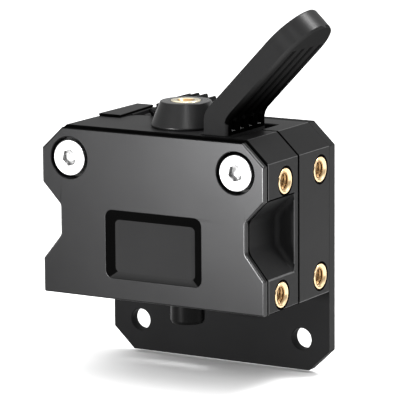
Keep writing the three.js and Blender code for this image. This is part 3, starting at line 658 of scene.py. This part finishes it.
def front_housing():
    body = loft(outline(TOP, False), edge_levels(FY0, FY1, 0.30, 0.16), "Y")
    land = slab(inset(ccw(outline(COVER_TOP, True, rn=1.0)), 1.0), FY0 - 0.28, FY0 + 0.5, "Y")
    tongue = loft(fillet([(7.4, 10.0), (7.4, 15.3), (-12.6, 15.3), (-12.6, 10.0)], [0, 0.2, 3.4, 0], step=9),
                  edge_levels(26.0, TOP, 0.0, 0.14), "Z")
    body = join(body, land, tongue)
    edges = []
    for s in (1, -1):                                  # broken edge at the back of each side pocket
        edges.append(slab([(s * (W - 0.16), 9.88), (s * (W + 0.3), 9.88), (s * (W + 0.3), 10.34)], NOTCH_Z[0] - 0.3, NOTCH_Z[3] + 0.3, "Z"))
        for z, (dx, dz), k in ((NOTCH_Z[0], (-0.634, 0.7735), -1), (NOTCH_Z[3], (-0.692, -0.722), 1)):
            edges.append(slab([(s * W, z + k * 0.16), (s * (W + 0.16 * dx), z + 0.16 * dz), (s * (W + 0.3), z)], 0.5, 10.05, "Y"))
    body = cut(
        body, notch_tool(1), notch_tool(-1),
        *[rod(1.65, p, 0, 12) for p in screws_xz()],
        *[rod(3.5, p, 0, 2.15, n=96) for p in screws_xz()],
        rod(4.05, (DX, DZ), 2.2, 12), rod(2.9, (DX, DZ), 1.75, 3),
        rod(5.15, (DX, DZ), 4.4, 12), rod(5.15, (IX, IZ), 4.4, 12),
        slab([(2.15, 16.6), (13.8, 15.2), (13.8, 26.0), (2.15, 26.0)], 2.3, 11.35),
        slab([(3.7, 2.2), (13.8, 2.2), (13.8, 17.0), (3.0, 17.0), (3.7, 14.6)], 3.8, 11.32),
        top_slot(),
        rod(1.55, (PX, PZ), 1.75, 4),
        rod(2.45, (7.2, 13.5), 13.0, 16.35, "X"),
        *insert_holes(True),
        rod(2.08, (TX, TY), -1, 18, "Z"),
        slab([(TX - 0.9, TY), (TX + 0.9, TY), (TX + 0.9, 11.5), (TX - 0.9, 11.5)], -1, 18.02, "Z"),
        rod(1.98, (TX, TY), 24, 29, "Z"), *edges)
    o = finish_piece(body, "front_housing", MAT["housing_plastic"],
                     extra=(MAT["gap_and_shade_black"], MAT["housing_edge_highlight"], MAT["housing_pocket_shade"]))

    def rule(c, n):
        # the front bevel's outer rim gets the painted edge highlight; the rest of that bevel, the face at the cover,
        # the walls of the insert holes and the faces at the parting are painted near black as shadow in joints and
        # holes
        if c.y < FY0 + 0.31 and n.y < -0.2:
            return 2 if c.y > FY0 + 0.13 and abs(n.x) > 0.3 and abs(c.x) > W - 0.5 else 1
        if c.y < FY0 + 0.02:
            return 1
        if near_insert(c, n):
            return 1
        if c.y > FY1 - 0.2 and n.y > 0.3:
            return 1
        # the side pockets get the darker pocket tone, painted shade; their back edge gets the painted edge highlight
        if abs(c.x) > W - NOTCH_D - 0.4 and NOTCH_Z[0] - 0.02 < c.z < NOTCH_Z[3] + 0.02 and c.y < 9.93 and abs(c.x) < W - 0.02:
            if c.y > 9.8 and abs(n.y) < 0.95 and abs(c.x) > W - 0.3:
                return 2
            return 3 if not (abs(c.x) > W - 0.15 and abs(n.x) > 0.8) else 2
        # the rounded edges get the lighter edge tone: painted highlight
        return 2 if on_edge(c, n) else None
    return tag(o, rule)


# --------------------------------------------------------------- rear housing
def rear_housing():
    body = loft(outline(TOP, False), edge_levels(RY0, RY1, 0.16, 0.0), "Y")
    land = slab(inset(ccw(outline(25.4, False)), 0.7), RY0 - 0.28, RY0 + 0.5, "Y")
    strip = loft(fillet([(-17.0, RY0), (-12.8, RY0), (-13.75, PY1), (-17.0, PY1)], [0.3, 0.3, 0.2, 0.2]), edge_levels(TOP + 0.06, PAD_TOP, 0, 0.12), "Z")
    root = slab([(-16.75, RY0), (-12.8, RY0), (-13.6, RY1), (-16.75, RY1)], TOP - 0.5, PAD_TOP - 0.14, "Z")
    body = join(body, land, strip, root)
    body = cut(
        body,
        *[rod(1.6, p, 10, 24) for p in screws_xz()],
        rod(10.85, (DX, DZ), 14.95, 24, n=128),
        loft([(-13.62, 24), (-12.74, 14.95), (6.4, 14.95), (6.4, 24)], [(0, 25.2), (0, TOP - 0.12), (-0.12, TOP), (-0.12, PAD_TOP - 0.3), (-0.12, 29)], "Z"),
        slab([(-13.05, 15.4), (-12.7, 10), (7.75, 10), (7.75, 15.4)], 25.7, 29, "Z"),
        rod(5.0, (MX, MZ), 14.95, 24), rod(4.45, (MX, MZ), 11.9, 16),
        rod(4.05, (DX, DZ), 12.25, 16), rod(3.0, (DX, DZ), 10, 13),
        slab([(2.15, 16.6), (13.8, 15.2), (13.8, 26.0), (2.15, 26.0)], 10, 12.9),
        slab([(9.6, 16.0), (13.8, 16.0), (13.8, 27.0), (9.6, 27.0)], 10, 17.4),
        top_slot(),
        rod(1.55, (PX, PZ), 10, 14.1),
        rod(1.05, (-15.0, 4.0), 15.5, 24, n=32), rod(1.05, (15.0, 4.0), 15.5, 24, n=32),
        *insert_holes(False))
    o = finish_piece(body, "rear_housing", MAT["housing_plastic"], extra=(MAT["gap_and_shade_black"], MAT["housing_edge_highlight"]))

    def rule(c, n):
        # faces at the parting, the walls of the insert holes and the sides of the top strip are painted near black as
        # shadow
        if c.y < RY0 + 0.2 and n.y < -0.25 or c.y < RY0 + 0.02:
            return 1
        if near_insert(c, n):
            return 1
        if c.x < -12.5 and c.z > TOP + 0.03 and n.z < 0.5:
            return 1
        # the rounded edges get the lighter edge tone: painted highlight
        return 2 if on_edge(c, n) else None
    return tag(o, rule)


# ---------------------------------------------------------------- motor plate
def motor_plate():
    z0, z1 = PLATE[0].z, PLATE[1].z
    pts = [(W - CX, z0), (W, z0 + CZ), (W, z1 - CZ), (W - CX, z1), (-(W - CX), z1), (-W, z1 - CZ), (-W, z0 + CZ), (-(W - CX), z0)]
    body = loft(fillet(pts, 0.3, step=12), edge_levels(PY0, PY1, 0.03, 0.14), "Y")
    tools = [lathe([(0, 20), (11.2, 20), (11.2, PY0 - 0.0), (11.05, PY0 + 0.15), (11.05, PY1 - 0.3), (11.35, PY1), (11.35, 25), (0, 25)], (MX, MZ), "Y", n=160)]
    for sx in (-1, 1):
        for sz in (-1, 1):
            prof = [(0, 20), (1.92, 20), (1.92, PY0), (1.80, PY0 + 0.12), (1.80, PY1 - 0.12), (1.92, PY1), (1.92, 25), (0, 25)]
            tools.append(lathe(prof, (sx * BOLT, MZ + sz * BOLT), "Y", n=64))
        tools.append(lathe([(0, 20), (1.2, 20), (1.2, 22.45), (2.3, PY1), (2.3, 25), (0, 25)], (sx * 15.0, 4.0), "Y", n=48))
    o = finish_piece(cut(body, *tools), "motor_plate", MAT["plate_metal"], extra=(MAT["housing_plastic"],))
    return tag(o, lambda c, n: 1 if abs(n.y) < 0.5 and (abs(c.x) > W - CX - 0.1 and c.z > -0.5) and abs(c.x) > 17.4 else None)


# --------------------------------------------------------------------- screws
def thread_rows(r, depth, h0, h1, pitch=0.5, per=8):
    k = max(2, round((h1 - h0) / pitch * per))
    rows = []
    for i in range(k + 1):
        h = h0 + (h1 - h0) * i / k
        fade = min(1.0, (h - h0) / pitch, (h1 - h) / pitch)
        rows.append((r, h, depth * max(0.0, fade)))
    return rows


def hexagon(x, z, r, a0=0.3):
    return circle(x, z, r, 6, a0)


def cover_screw(side, p):
    prof = fillet([(0, -0.05), (2.94, -0.05), (2.94, 2.1), (1.5, 2.1)], [0, 0.28, 0.05, 0], closed=False, step=15)
    rows = [(r, h) for r, h in prof] + [(1.5, 14.0)] + [(1.22, 14.25)]
    rows += thread_rows(1.22, 0.27, 14.3, 26.7) + [(1.22, 26.72), (1.0, 26.9), (0, 26.9)]
    body = lathe(rows, p, "Y", n=56)
    socket = loft(hexagon(p[0], p[1], 1.36), [(-0.14, -1), (-0.14, -0.05), (0.0, 0.10), (0.0, 1.0), (0.6, 1.3)], "Y")
    o = finish_piece(cut(body, socket), f"cover_screw_{side}", MAT["screw_steel"], extra=(MAT["screw_socket_shade"],))
    # the socket's walls get the darker mottled steel: painted shade
    return tag(o, lambda c, n: 1 if 0.0 < c.y < 1.7 and abs(n.y) < 0.9 and (c.x - p[0]) ** 2 + (c.z - p[1]) ** 2 < 1.5 ** 2 else None)


def plate_screw(side, x):
    prof = [(0, 16.0), (0.75, 16.0)] + thread_rows(0.78, 0.2, 16.05, 22.2, 0.4) + [(1.0, 22.4), (2.2, 23.5), (2.2, 23.55), (0, 23.55)]
    body = lathe(prof, (x, 4.0), "Y", n=40)
    socket = loft(hexagon(x, 4.0, 0.85), [(0.2, 22.4), (0.0, 22.6), (0.0, 23.5), (-0.08, 23.56), (-0.08, 25)], "Y")
    return finish_piece(cut(body, socket), f"plate_screw_{side}", MAT["dark_steel"])


# -------------------------------------------------------------- brass inserts
def insert(node):
    s, y, z = INSERTS[node]
    x1, x0 = W + 0.02, W - 3.0
    rows = [(2.02, x0), (2.15, x0 + 0.15)]
    for i, h in enumerate([x0 + 0.4, x0 + 0.55, x0 + 1.0, x0 + 1.15, x0 + 1.45, x0 + 1.6, x1 - 0.75, x1 - 0.6]):
        rows.append((2.15 if i % 4 in (0, 3) else 1.98, h))
    rows += fillet([(2.15, x1 - 0.5), (2.06, x1), (1.80, x1), (1.50, x1 - 0.34)], [0, 0.16, 0.14, 0], closed=False, step=15)
    inner = thread_rows(1.26, 0.26, x0 + 0.3, x1 - 0.38, 0.5, 12)
    rows += list(reversed(inner)) + [(1.3, x0 + 0.25), (1.55, x0)]
    rows = [((r[0], s * r[1]) + tuple(r[2:])) for r in rows]
    body = lathe(rows, (y, z), "X", n=64, ring=True, hand=s)
    o = finish_piece(body, node, MAT["insert_brass"], smooth=40, extra=(MAT["insert_thread_shade"],))
    # the threads inside get the darker brass: painted shade
    return tag(o, lambda c, n: 1 if (c.y - y) ** 2 + (c.z - z) ** 2 < 1.53 ** 2 and abs(c.x) < W - 0.33 else None)


# ------------------------------------------------------------ inlet and outlet
def inlet():
    z0, z1 = TOP + 0.02, bench("inlet_cone")[1].z
    rim = fillet([(5.57, z0), (5.67, z0 + 0.35), (4.13, z1), (2.55, z1), (2.55, z1 - 1.0)], [0, 0.25, 0.22, 0.08, 0], closed=False, step=12)
    rows = [(1.1, 26.1), (1.9, 26.1), (1.9, z0)] + rim + [(2.55, 28.9), (1.1, 28.9)]
    cone = lathe(rows, (TX, TY), "Z", n=128, ring=True)
    # the cone's top face gets the lighter copy: painted light
    tag(finish_piece(cone, "inlet_cone", MAT["black_plastic"], extra=(MAT["cone_rim_lit"],)),
        lambda c, n: 1 if c.z > z1 - 0.12 and n.z > 0.8 else None)
    rows = [(1.05, 28.95), (2.46, 28.95)] + fillet([(2.46, z1 - 0.3), (2.46, z1 + 0.1), (1.5, z1 + 0.1), (1.05, z1 - 0.4), (1.05, z1 - 1.2)], [0, 0.14, 0.12, 0.15, 0], closed=False, step=15)
    bush = lathe(rows, (TX, TY), "Z", n=96, ring=True)
    # the bush's bore gets the darker brass: painted shade
    tag(finish_piece(bush, "inlet_bush", MAT["bush_brass"], extra=(MAT["insert_thread_shade"],)),
        lambda c, n: 1 if (c.x - TX) ** 2 + (c.y - TY) ** 2 < 1.3 ** 2 else None)


def outlet():
    rows = [(2.08, -4.6)] + fillet([(2.2, -4.6), (2.55, -4.6), (2.8, -4.1), (2.8, -0.02)], [0, 0.12, 0.2, 0], closed=False, step=12) + [(2.08, -0.02)]
    collar = lathe(rows, (TX, TY), "Z", n=96, ring=True)
    finish_piece(collar, "outlet_collar", MAT["gear_plastic"])
    rows = fillet([(1.0, -4.3), (2.0, -4.3), (2.0, 16.0), (1.3, 16.0), (1.0, 15.4)], [0.05, 0.1, 0.1, 0.08, 0.2], step=20)
    tube = lathe(rows, (TX, TY), "Z", n=64, ring=True)
    finish_piece(tube, "guide_tube", MAT["tube_plastic"])


# ------------------------------------------------------------------- bearings
def bearing(node):
    y0, y1 = bench(node)[0].y, bench(node)[1].y
    rows = fillet([(2.57, y0), (3.05, y0), (3.05, y0 + 0.14), (3.45, y0 + 0.14), (3.45, y0), (4.0, y0), (4.0, y1), (3.45, y1), (3.45, y1 - 0.14), (3.05, y1 - 0.14), (3.05, y1), (2.57, y1)],
                  [0.12, 0.05, 0.03, 0.03, 0.05, 0.18, 0.18, 0.05, 0.03, 0.03, 0.05, 0.12], step=30)
    return finish_piece(lathe(rows, (DX, DZ), "Y", n=64, ring=True), node, MAT["bright_steel"])


def pin(node, c, y0, y1, r=1.5, b=0.2):
    return finish_piece(rod(r, c, y0, y1, "Y", 48, b), node, MAT["bright_steel"])


# ---------------------------------------------------------------------- gears
def gear_outline(cx, cz, teeth, thin, phase, addendum=1.0, k=5, tip=0.07):
    m = 0.5
    rp = m * teeth / 2
    rb, ra, rf = rp * math.cos(math.radians(20)), rp + addendum * m, rp - 1.25 * m
    inv = lambda a: math.tan(a) - a
    half = (math.pi * m / 2 - thin) / (2 * rp) + inv(math.radians(20))
    at = lambda rho: half - (inv(math.acos(rb / rho)) if rho > rb else 0)
    start = max(rb, rf)
    out = []
    put = lambda rho, a: out.append((cx + rho * math.cos(a), cz + rho * math.sin(a)))
    for i in range(teeth):
        c = math.radians(phase) + 2 * math.pi * i / teeth
        nxt = c + 2 * math.pi / teeth
        side = []
        for j in range(k):
            rho = start + (ra - tip - start) * j / (k - 1)
            side.append((rho, at(rho)))
        side.append((ra, at(ra - tip) - tip * 0.9 / ra))
        root = at(start) + 0.10 / rp
        put(rf, c - root)
        put(rf + 0.06, c - at(start) - 0.03 / rp)
        for rho, a in side:
            put(rho, c - a)
        for rho, a in reversed(side):
            put(rho, c + a)
        put(rf + 0.06, c + at(start) + 0.03 / rp)
        put(rf, c + root)
        put(rf, (c + nxt) / 2)
    return out


MESH_ANGLE = math.degrees(math.atan2(MZ - DZ, MX - DX))


def driven_gear():
    body = loft(gear_outline(DX, DZ, 40, 0.05, MESH_ANGLE), edge_levels(15.6, 21.2, 0.09, 0.09, 2), "Y")
    hub = rod(3.3, (DX, DZ), 14.9, 16.5, b=0.15)
    body = join(body, hub)
    web = lathe(fillet([(4.3, 20.0), (8.2, 20.0), (8.2, 22.0), (4.3, 22.0)], [0.4, 0.4, 0, 0], step=20), (DX, DZ), "Y", n=96, ring=True)
    bore = lathe([(0, 14), (2.7, 14), (2.7, 14.9), (2.56, 15.05), (2.56, 21.05), (2.71, 21.2), (2.71, 24), (0, 24)], (DX, DZ), "Y", n=64)
    return finish_piece(cut(body, web, bore), "driven_gear", MAT["gear_plastic"], smooth=38)


def hob(node, c):
    """Pressed-together spur and hobbed wheel: 17 teeth, then a toothed groove for the filament."""
    spur = loft(gear_outline(c[0], c[1], 17, 0.12, 0), edge_levels(4.85, 7.2, 0.07, 0.07, 2), "Y")
    # the groove is cut by a tap, so the wheel carries fine radial teeth that run across it
    n, lobes = 240, 40
    prof = [(0, 7.1), (3.5, 7.1), (3.5, 7.6), (4.05, 7.6), (4.15, 7.7), (4.15, 8.1)]
    for i in range(9):
        t = -1 + 2 * i / 8
        prof.append((3.55 + 0.6 * t * t * 0.999, 9.0 + 0.9 * t, -0.13 * (1 - 0.55 * abs(t))))
    prof += [(4.15, 9.9), (4.15, 10.5), (4.05, 10.6), (0, 10.6)]
    wheel = lathe(prof, c, "Y", n=n, lobes=lobes)
    body = join(spur, wheel)
    return finish_piece(cut(body, rod(2.56, c, 0, 20, n=64)), node, MAT["hob_steel"], smooth=38)


def drive_train():
    rows = fillet([(0, 1.95), (2.5, 1.95), (2.5, 21.4), (0, 21.4)], [0, 0.25, 0.25, 0], closed=False, step=20)
    shaft = lathe(rows, (DX, DZ), "Y", n=64)
    # retaining-ring groove near the front
    ringcut = lathe([(2.25, 2.0), (3.0, 2.0), (3.0, 2.12), (2.25, 2.12)], (DX, DZ), "Y", n=64, ring=True)
    finish_piece(cut(shaft, ringcut), "drive_shaft", MAT["bright_steel"])
    hob("drive_gear", (DX, DZ))
    driven_gear()


def pinion():
    step = 360 / 16
    teeth = loft(gear_outline(MX, MZ, 16, 0.05, MESH_ANGLE + 180 + step / 2, 0.95), edge_levels(15.2, 21.3, 0.08, 0.08, 2), "Y")
    hub = rod(4.0, (MX, MZ), 12.3, 15.3, b=0.2)
    body = join(teeth, hub)
    bore = lathe([(0, 11), (2.7, 11), (2.7, 12.3), (2.54, 12.46), (2.54, 21.14), (2.7, 21.3), (2.7, 24), (0, 24)], (MX, MZ), "Y", n=64)
    body = cut(body, bore, rod(1.28, (13.75, MZ), 1.5, 5, "X", 48))
    finish_piece(body, "motor_pinion", MAT["pinion_brass"], smooth=38)
    lo, hi = bench("pinion_grub_screw")
    rows = [(0, lo.x), (0.85, lo.x)] + thread_rows(1.02, 0.2, lo.x + 0.05, hi.x - 0.05, 0.5) + [(1.0, hi.x), (0, hi.x)]
    grub = lathe(rows, (13.75, MZ), "X", n=40)
    finish_piece(cut(grub, rod(0.65, (13.75, MZ), 3.2, 5, "X", 6)), "pinion_grub_screw", MAT["dark_steel"])


# ---------------------------------------------------------------- idler lever
def lever():
    th = math.radians(46.3)
    d, nrm = (math.cos(th), math.sin(th)), (-math.sin(th), math.cos(th))
    p0 = (10.09, 33.364)
    at = lambda s, t: Vector((p0[0] + d[0] * s - nrm[0] * t, p0[1] + d[1] * s - nrm[1] * t))
    T, xl, xr, tip = 3.9, 8.15, 12.55, 20.25
    y0, y1 = 2.7, 15.2
    r, yc = (y1 - y0) / 2, (y0 + y1) / 2
    # upper and lower lines of the side view, each with its own bend
    up = fillet([(xl, 25.7), (xl, p0[1] - (p0[0] - xl) * math.tan(th)), tuple(at(tip, 0))], [0, 3.1, 0], closed=False, step=3)
    foot = at(0, T)
    low = fillet([(xr, 25.7), (xr, foot.y - (foot.x - xr) * math.tan(th)), tuple(at(tip, T))], [0, 3.0, 0], closed=False, step=3)

    def along(line):
        pts = [Vector(p) for p in line]
        acc = [0.0]
        for a, b in zip(pts, pts[1:]):
            acc.append(acc[-1] + (b - a).length)

        def f(s):
            s = min(max(s, 0.0), acc[-1])
            for i in range(len(pts) - 1):
                if s <= acc[i + 1] or i == len(pts) - 2:
                    k = (s - acc[i]) / max(1e-9, acc[i + 1] - acc[i])
                    return pts[i].lerp(pts[i + 1], k)
        return f, acc[-1]

    fu, lu = along(up)
    fl, ll = along(low)
    # stations: stub, bend, then square to the paddle
    s_sq = 1.6                                    # the paddle is square from this length on
    du, dl = lu - (tip - s_sq), ll - (tip - s_sq)  # lengths used up to there
    stations = []
    for i in range(5):
        z = 2.9 * i / 4
        stations.append((fu(z), fl(z), r))
    for i in range(1, 25):
        k = i / 24
        stations.append((fu(2.9 + (du - 2.9) * k), fl(2.9 + (dl - 2.9) * k), r))
    for i in range(1, 9):
        s = s_sq + (tip - r - s_sq) * i / 8
        stations.append((at(s, 0), at(s, T), r))
    for i in range(1, 31):
        a = math.pi / 2 * i / 30
        s = tip - r + r * math.sin(a)
        hw = r * math.cos(a)
        stations.append((at(s, 0), at(s, T), max(hw, 0.02)))
    verts, faces, n = [], [], None
    for (u, l, hw) in stations:
        e = u - l
        h = e.length
        e = e / h
        rt, rb = min(0.3, hw * 0.98), min(0.6, hw * 0.98)
        sec = fillet([(-hw, 0), (hw, 0), (hw, h), (-hw, h)], [rb, rb, rt, rt], step=18) if hw > 0.05 else \
            fillet([(-hw, 0), (hw, 0), (hw, h), (-hw, h)], [hw * 0.9] * 4, step=18)
        if n is None:
            n = len(sec)
        assert len(sec) == n
        for y, t in sec:
            verts.append((l.x + e.x * t, yc + y, l.y + e.y * t))
    m = len(stations)
    for k in range(m - 1):
        a, b = k * n, (k + 1) * n
        faces += [(a + i, a + (i + 1) % n, b + (i + 1) % n, b + i) for i in range(n)]
    faces.append(tuple(range(n)))
    faces.append(tuple(range((m - 1) * n, m * n)))
    body = make("t", verts, faces)
    # grip grooves on the underside
    tools = []
    for k in (-1.5, -0.5, 0.5, 1.5):
        y = yc + k * 2.81
        line = [(xr - 0.75, 28.5), (xr + 1.6, 28.5), tuple(at(0, T + 1.5)), tuple(at(15.9, T + 0.5)), tuple(at(15.6, T)),
                tuple(at(14.6, T - 0.8)), tuple(at(-0.1, T - 0.8)), (xr - 0.75, 29.9)]
        tools.append(loft(fillet(line, [0.3, 0, 0, 0, 0, 1.2, 1.6, 1.0], step=10), [(0.0, y - 0.6), (0, y + 0.6)], "Y"))
    body = cut(body, *tools)
    arm = [
        rod(2.6, (PX, PZ), 4.1, 10.75, b=0.15),
        slab([(4.15, 5.6), (9.15, 4.5), (12.6, 11.0), (12.6, 16.0), (10.6, 15.5), (5.0, 15.3), (4.4, 13.0)], 4.1, 10.75, b=0.12),
        slab([(10.6, 15.4), (12.6, 15.4), (12.6, 16.0), (12.55, 26.5), (8.15, 26.5), (8.15, 26.0), (10.6, 24.6)], 4.1, 10.75),
        slab([(10.6, 17.6), (12.55, 17.6), (12.55, 26.5), (8.15, 26.5), (8.15, 26.0), (10.6, 24.6)], y0, y1, b=0.12)]
    for a, b in ((y0 + 0.3, 4.55), (10.95, 12.55)):
        arm += [rod(2.6, (IX, IZ), a, b, b=0.12), slab([(5.5, 18.175), (12.0, 17.6), (12.0, 24.9), (5.5, 23.375)], a, b)]
    body = join(body, *arm)
    body = cut(body, rod(1.56, (PX, PZ), 0, 20), rod(1.54, (IX, IZ), 0, 20), rod(2.45, (7.2, 13.5), 9.85, 14, "X"))
    o = finish_piece(body, "idler_lever", MAT["lever"], smooth=38, extra=(MAT["lever_grip_and_shade"], MAT["lever_groove_glint"]))
    # the gripped underside and its grooves have a matte moulded texture, painted darker towards the stub as shade
    under = Vector((-nrm[0], 0, -nrm[1]))
    f0 = Vector((foot.x, 0, foot.y))

    def rule(c, n):
        if c.z < TOP - 0.2:
            return None
        # the grooves' lower ends get light grey: painted glints
        if c.z < 28.95 and c.x > xr - 0.8 and n.z > 0.3 and min(abs(c.y - yc - k * 2.81) for k in (-1.5, -0.5, 0.5, 1.5)) < 0.56:
            return 2
        deep = (c - f0).dot(under)                   # distance past the underside, negative inside
        if c.z > foot.y - 1.0 and deep > -0.95 and n.dot(under) > -0.3 and (deep < -0.06 or n.dot(under) > 0.2):
            return 1
        if c.z <= foot.y and c.x > xr - 1.0 and (n.x > 0.5 or c.x < xr - 0.02) and (abs(c.y - yc) < r - 0.5):
            return 1
        return None
    tag(o, rule)
    pin("idler_pin", (IX, IZ), PIN[0].y, PIN[1].y)


def idler():
    hob("idler_gear", (IX, IZ))
    rows = fillet([(1.56, 5.0), (2.48, 5.0), (2.48, 10.5), (1.56, 10.5)], 0.15, step=30)
    finish_piece(lathe(rows, (IX, IZ), "Y", n=64, ring=True), "idler_needle_bush", MAT["bright_steel"])


# ---------------------------------------------------------------- clamp spring
def spring():
    y, z, x0, x1, r, wire = 7.2, 13.5, 9.95, 16.2, 1.78, 0.32    # thin enough to stay clear of the tilting pocket
    turns, steps, n = 6.0, 240, 12
    length = x1 - x0 - 2 * wire
    pts = []
    for i in range(steps + 1):
        t = i / steps
        # closed end coils, open working coils
        e = 0.75 / turns
        lift = 0.0 if t < e else 1.0 if t > 1 - e else (t - e) / (1 - 2 * e)
        lift = 0.06 * t + 0.94 * (lift * lift * (3 - 2 * lift) * 0.3 + lift * 0.7)
        a = 2 * math.pi * turns * t
        pts.append(Vector((x0 + wire + length * lift, y + r * math.cos(a), z + r * math.sin(a))))
    verts, faces = [], []
    for i, p in enumerate(pts):
        q = (pts[min(i + 1, steps)] - pts[max(i - 1, 0)]).normalized()
        out = Vector((0, p.y - y, p.z - z)).normalized()
        side = q.cross(out).normalized()
        out = side.cross(q).normalized()
        for k in range(n):
            a = 2 * math.pi * k / n
            verts.append(p + out * (wire * math.cos(a)) + side * (wire * math.sin(a)))
    for i in range(steps):
        a, b = i * n, (i + 1) * n
        faces += [(a + k, a + (k + 1) % n, b + (k + 1) % n, b + k) for k in range(n)]
    faces.append(tuple(range(n)))
    faces.append(tuple(range(steps * n, steps * n + n)))
    o = finish_piece(make("t", verts, faces), "clamp_spring", MAT["spring_steel"], smooth=50)
    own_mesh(o)


front_cover()
front_housing()
rear_housing()
motor_plate()
for side, at_ in zip(("left", "right"), screws_xz()):
    cover_screw(side, at_)
for side, at_ in (("left", -15.0), ("right", 15.0)):
    plate_screw(side, at_)
for node_ in sorted(INSERTS):
    insert(node_)
inlet()
outlet()
bearing("front_bearing")
bearing("rear_bearing")
pin("lever_pivot_pin", (PX, PZ), PIV[0].y, PIV[1].y)
drive_train()
pinion()
lever()
idler()
spring()

# ------------------------------------------------------------ stage and lights
SCENE.view_settings.view_transform = "Standard"
SCENE.view_settings.look = "None"


def stage_material(name, colour, rough=0.9):
    m = bpy.data.materials.new(name)
    m.use_nodes = True
    nt = m.node_tree
    b = nt.nodes["Principled BSDF"]
    n = nt.nodes.new("ShaderNodeTexNoise")
    n.inputs["Scale"].default_value = 25.0
    r = nt.nodes.new("ShaderNodeValToRGB")
    r.color_ramp.elements[0].color = [c * 0.995 for c in colour] + [1]
    r.color_ramp.elements[1].color = list(colour) + [1]
    nt.links.new(n.outputs["Fac"], r.inputs["Fac"])
    nt.links.new(r.outputs["Color"], b.inputs["Base Color"])
    b.inputs["Roughness"].default_value = rough
    b.inputs["Specular IOR Level"].default_value = 0.0
    return m


lo_, hi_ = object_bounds()
size = 3.0
fl = bpy.data.meshes.new("floor")
fl.from_pydata([(-size, -size, lo_.z - 0.0005), (size, -size, lo_.z - 0.0005), (size, size, lo_.z - 0.0005), (-size, size, lo_.z - 0.0005)], [], [(0, 1, 2, 3)])
floor = bpy.data.objects.new("floor", fl)
SCENE.collection.objects.link(floor)
fl.materials.append(stage_material("pale_floor", (0.9, 0.9, 0.9)))

# sky: a soft overhead panel that fades towards the horizon
SKY_TOP, SKY_LOW = 2.2, 0.60
world = bpy.data.worlds.new("studio")
SCENE.world = world
world.use_nodes = True
wn = world.node_tree
bg = wn.nodes["Background"]
wc = wn.nodes.new("ShaderNodeTexCoord")
ws = wn.nodes.new("ShaderNodeSeparateXYZ")
wr = wn.nodes.new("ShaderNodeValToRGB")
wr.color_ramp.interpolation = "EASE"
wr.color_ramp.elements[0].position, wr.color_ramp.elements[1].position = 0.35, 0.85
wr.color_ramp.elements[0].color = (SKY_LOW / SKY_TOP,) * 3 + (1,)
wr.color_ramp.elements[1].color = (1, 1, 1, 1)
wn.links.new(wc.outputs["Generated"], ws.inputs["Vector"])
wn.links.new(ws.outputs["Z"], wr.inputs["Fac"])
wn.links.new(wr.outputs["Color"], bg.inputs["Color"])
bg.inputs["Strength"].default_value = SKY_TOP


def area(name, at, target, size_x, size_y, power):
    """A soft box; at and target are bench metres, power in watts."""
    d = bpy.data.lights.new(name, "AREA")
    d.shape, d.size, d.size_y, d.energy = "RECTANGLE", size_x, size_y, power
    o = bpy.data.objects.new(name, d)
    o.location = Vector(at) + BENCH
    o.rotation_mode = "QUATERNION"
    o.rotation_quaternion = (Vector(target) - Vector(at)).to_track_quat("-Z", "Y")
    o.visible_camera = False
    SCENE.collection.objects.link(o)
    return o


area("front_left", (-0.076, -0.26, 0.008), (0.005, 0, 0.27), 0.045, 0.045, 2.5)
area("front_high", (0.19, -0.30, 0.30), (0.02, 0.01, 0.045), 0.09, 0.09, 0.35)
area("back_high", (0.20, 0.165, 0.38), (0.03, 0.01, 0.055), 0.10, 0.10, 1.4)
area("back_strip", (0.26, 0.46, 0.13), (0.02, 0.01, 0.01), 0.30, 0.03, 0.12)

# ---------------------------------------------------------------------- camera
YAW, PITCH, ROLL = 0.534112, 0.183681, -0.007599
fwd = Vector((-math.sin(YAW) * math.cos(PITCH), math.cos(YAW) * math.cos(PITCH), -math.sin(PITCH)))
right = Vector((math.cos(YAW), math.sin(YAW), 0))
up_ = right.cross(fwd)
r2 = right * math.cos(ROLL) + up_ * math.sin(ROLL)
u2 = -right * math.sin(ROLL) + up_ * math.cos(ROLL)
cam_data = bpy.data.cameras.new("camera")
cam_data.sensor_width = 36.0
cam_data.lens = 3274.48 / 400 * 36.0
cam_data.clip_start, cam_data.clip_end = 0.05, 20
cam_data.shift_x = 0.00095
cam = bpy.data.objects.new("camera", cam_data)
m3 = Matrix((r2, u2, -fwd)).transposed().to_4x4()
cam.matrix_world = Matrix.Translation(Vector((0.268564, -0.438839, 0.112517)) + Vector((BENCH.x, BENCH.y, BENCH.z))) @ m3
SCENE.collection.objects.link(cam)
SCENE.camera = cam
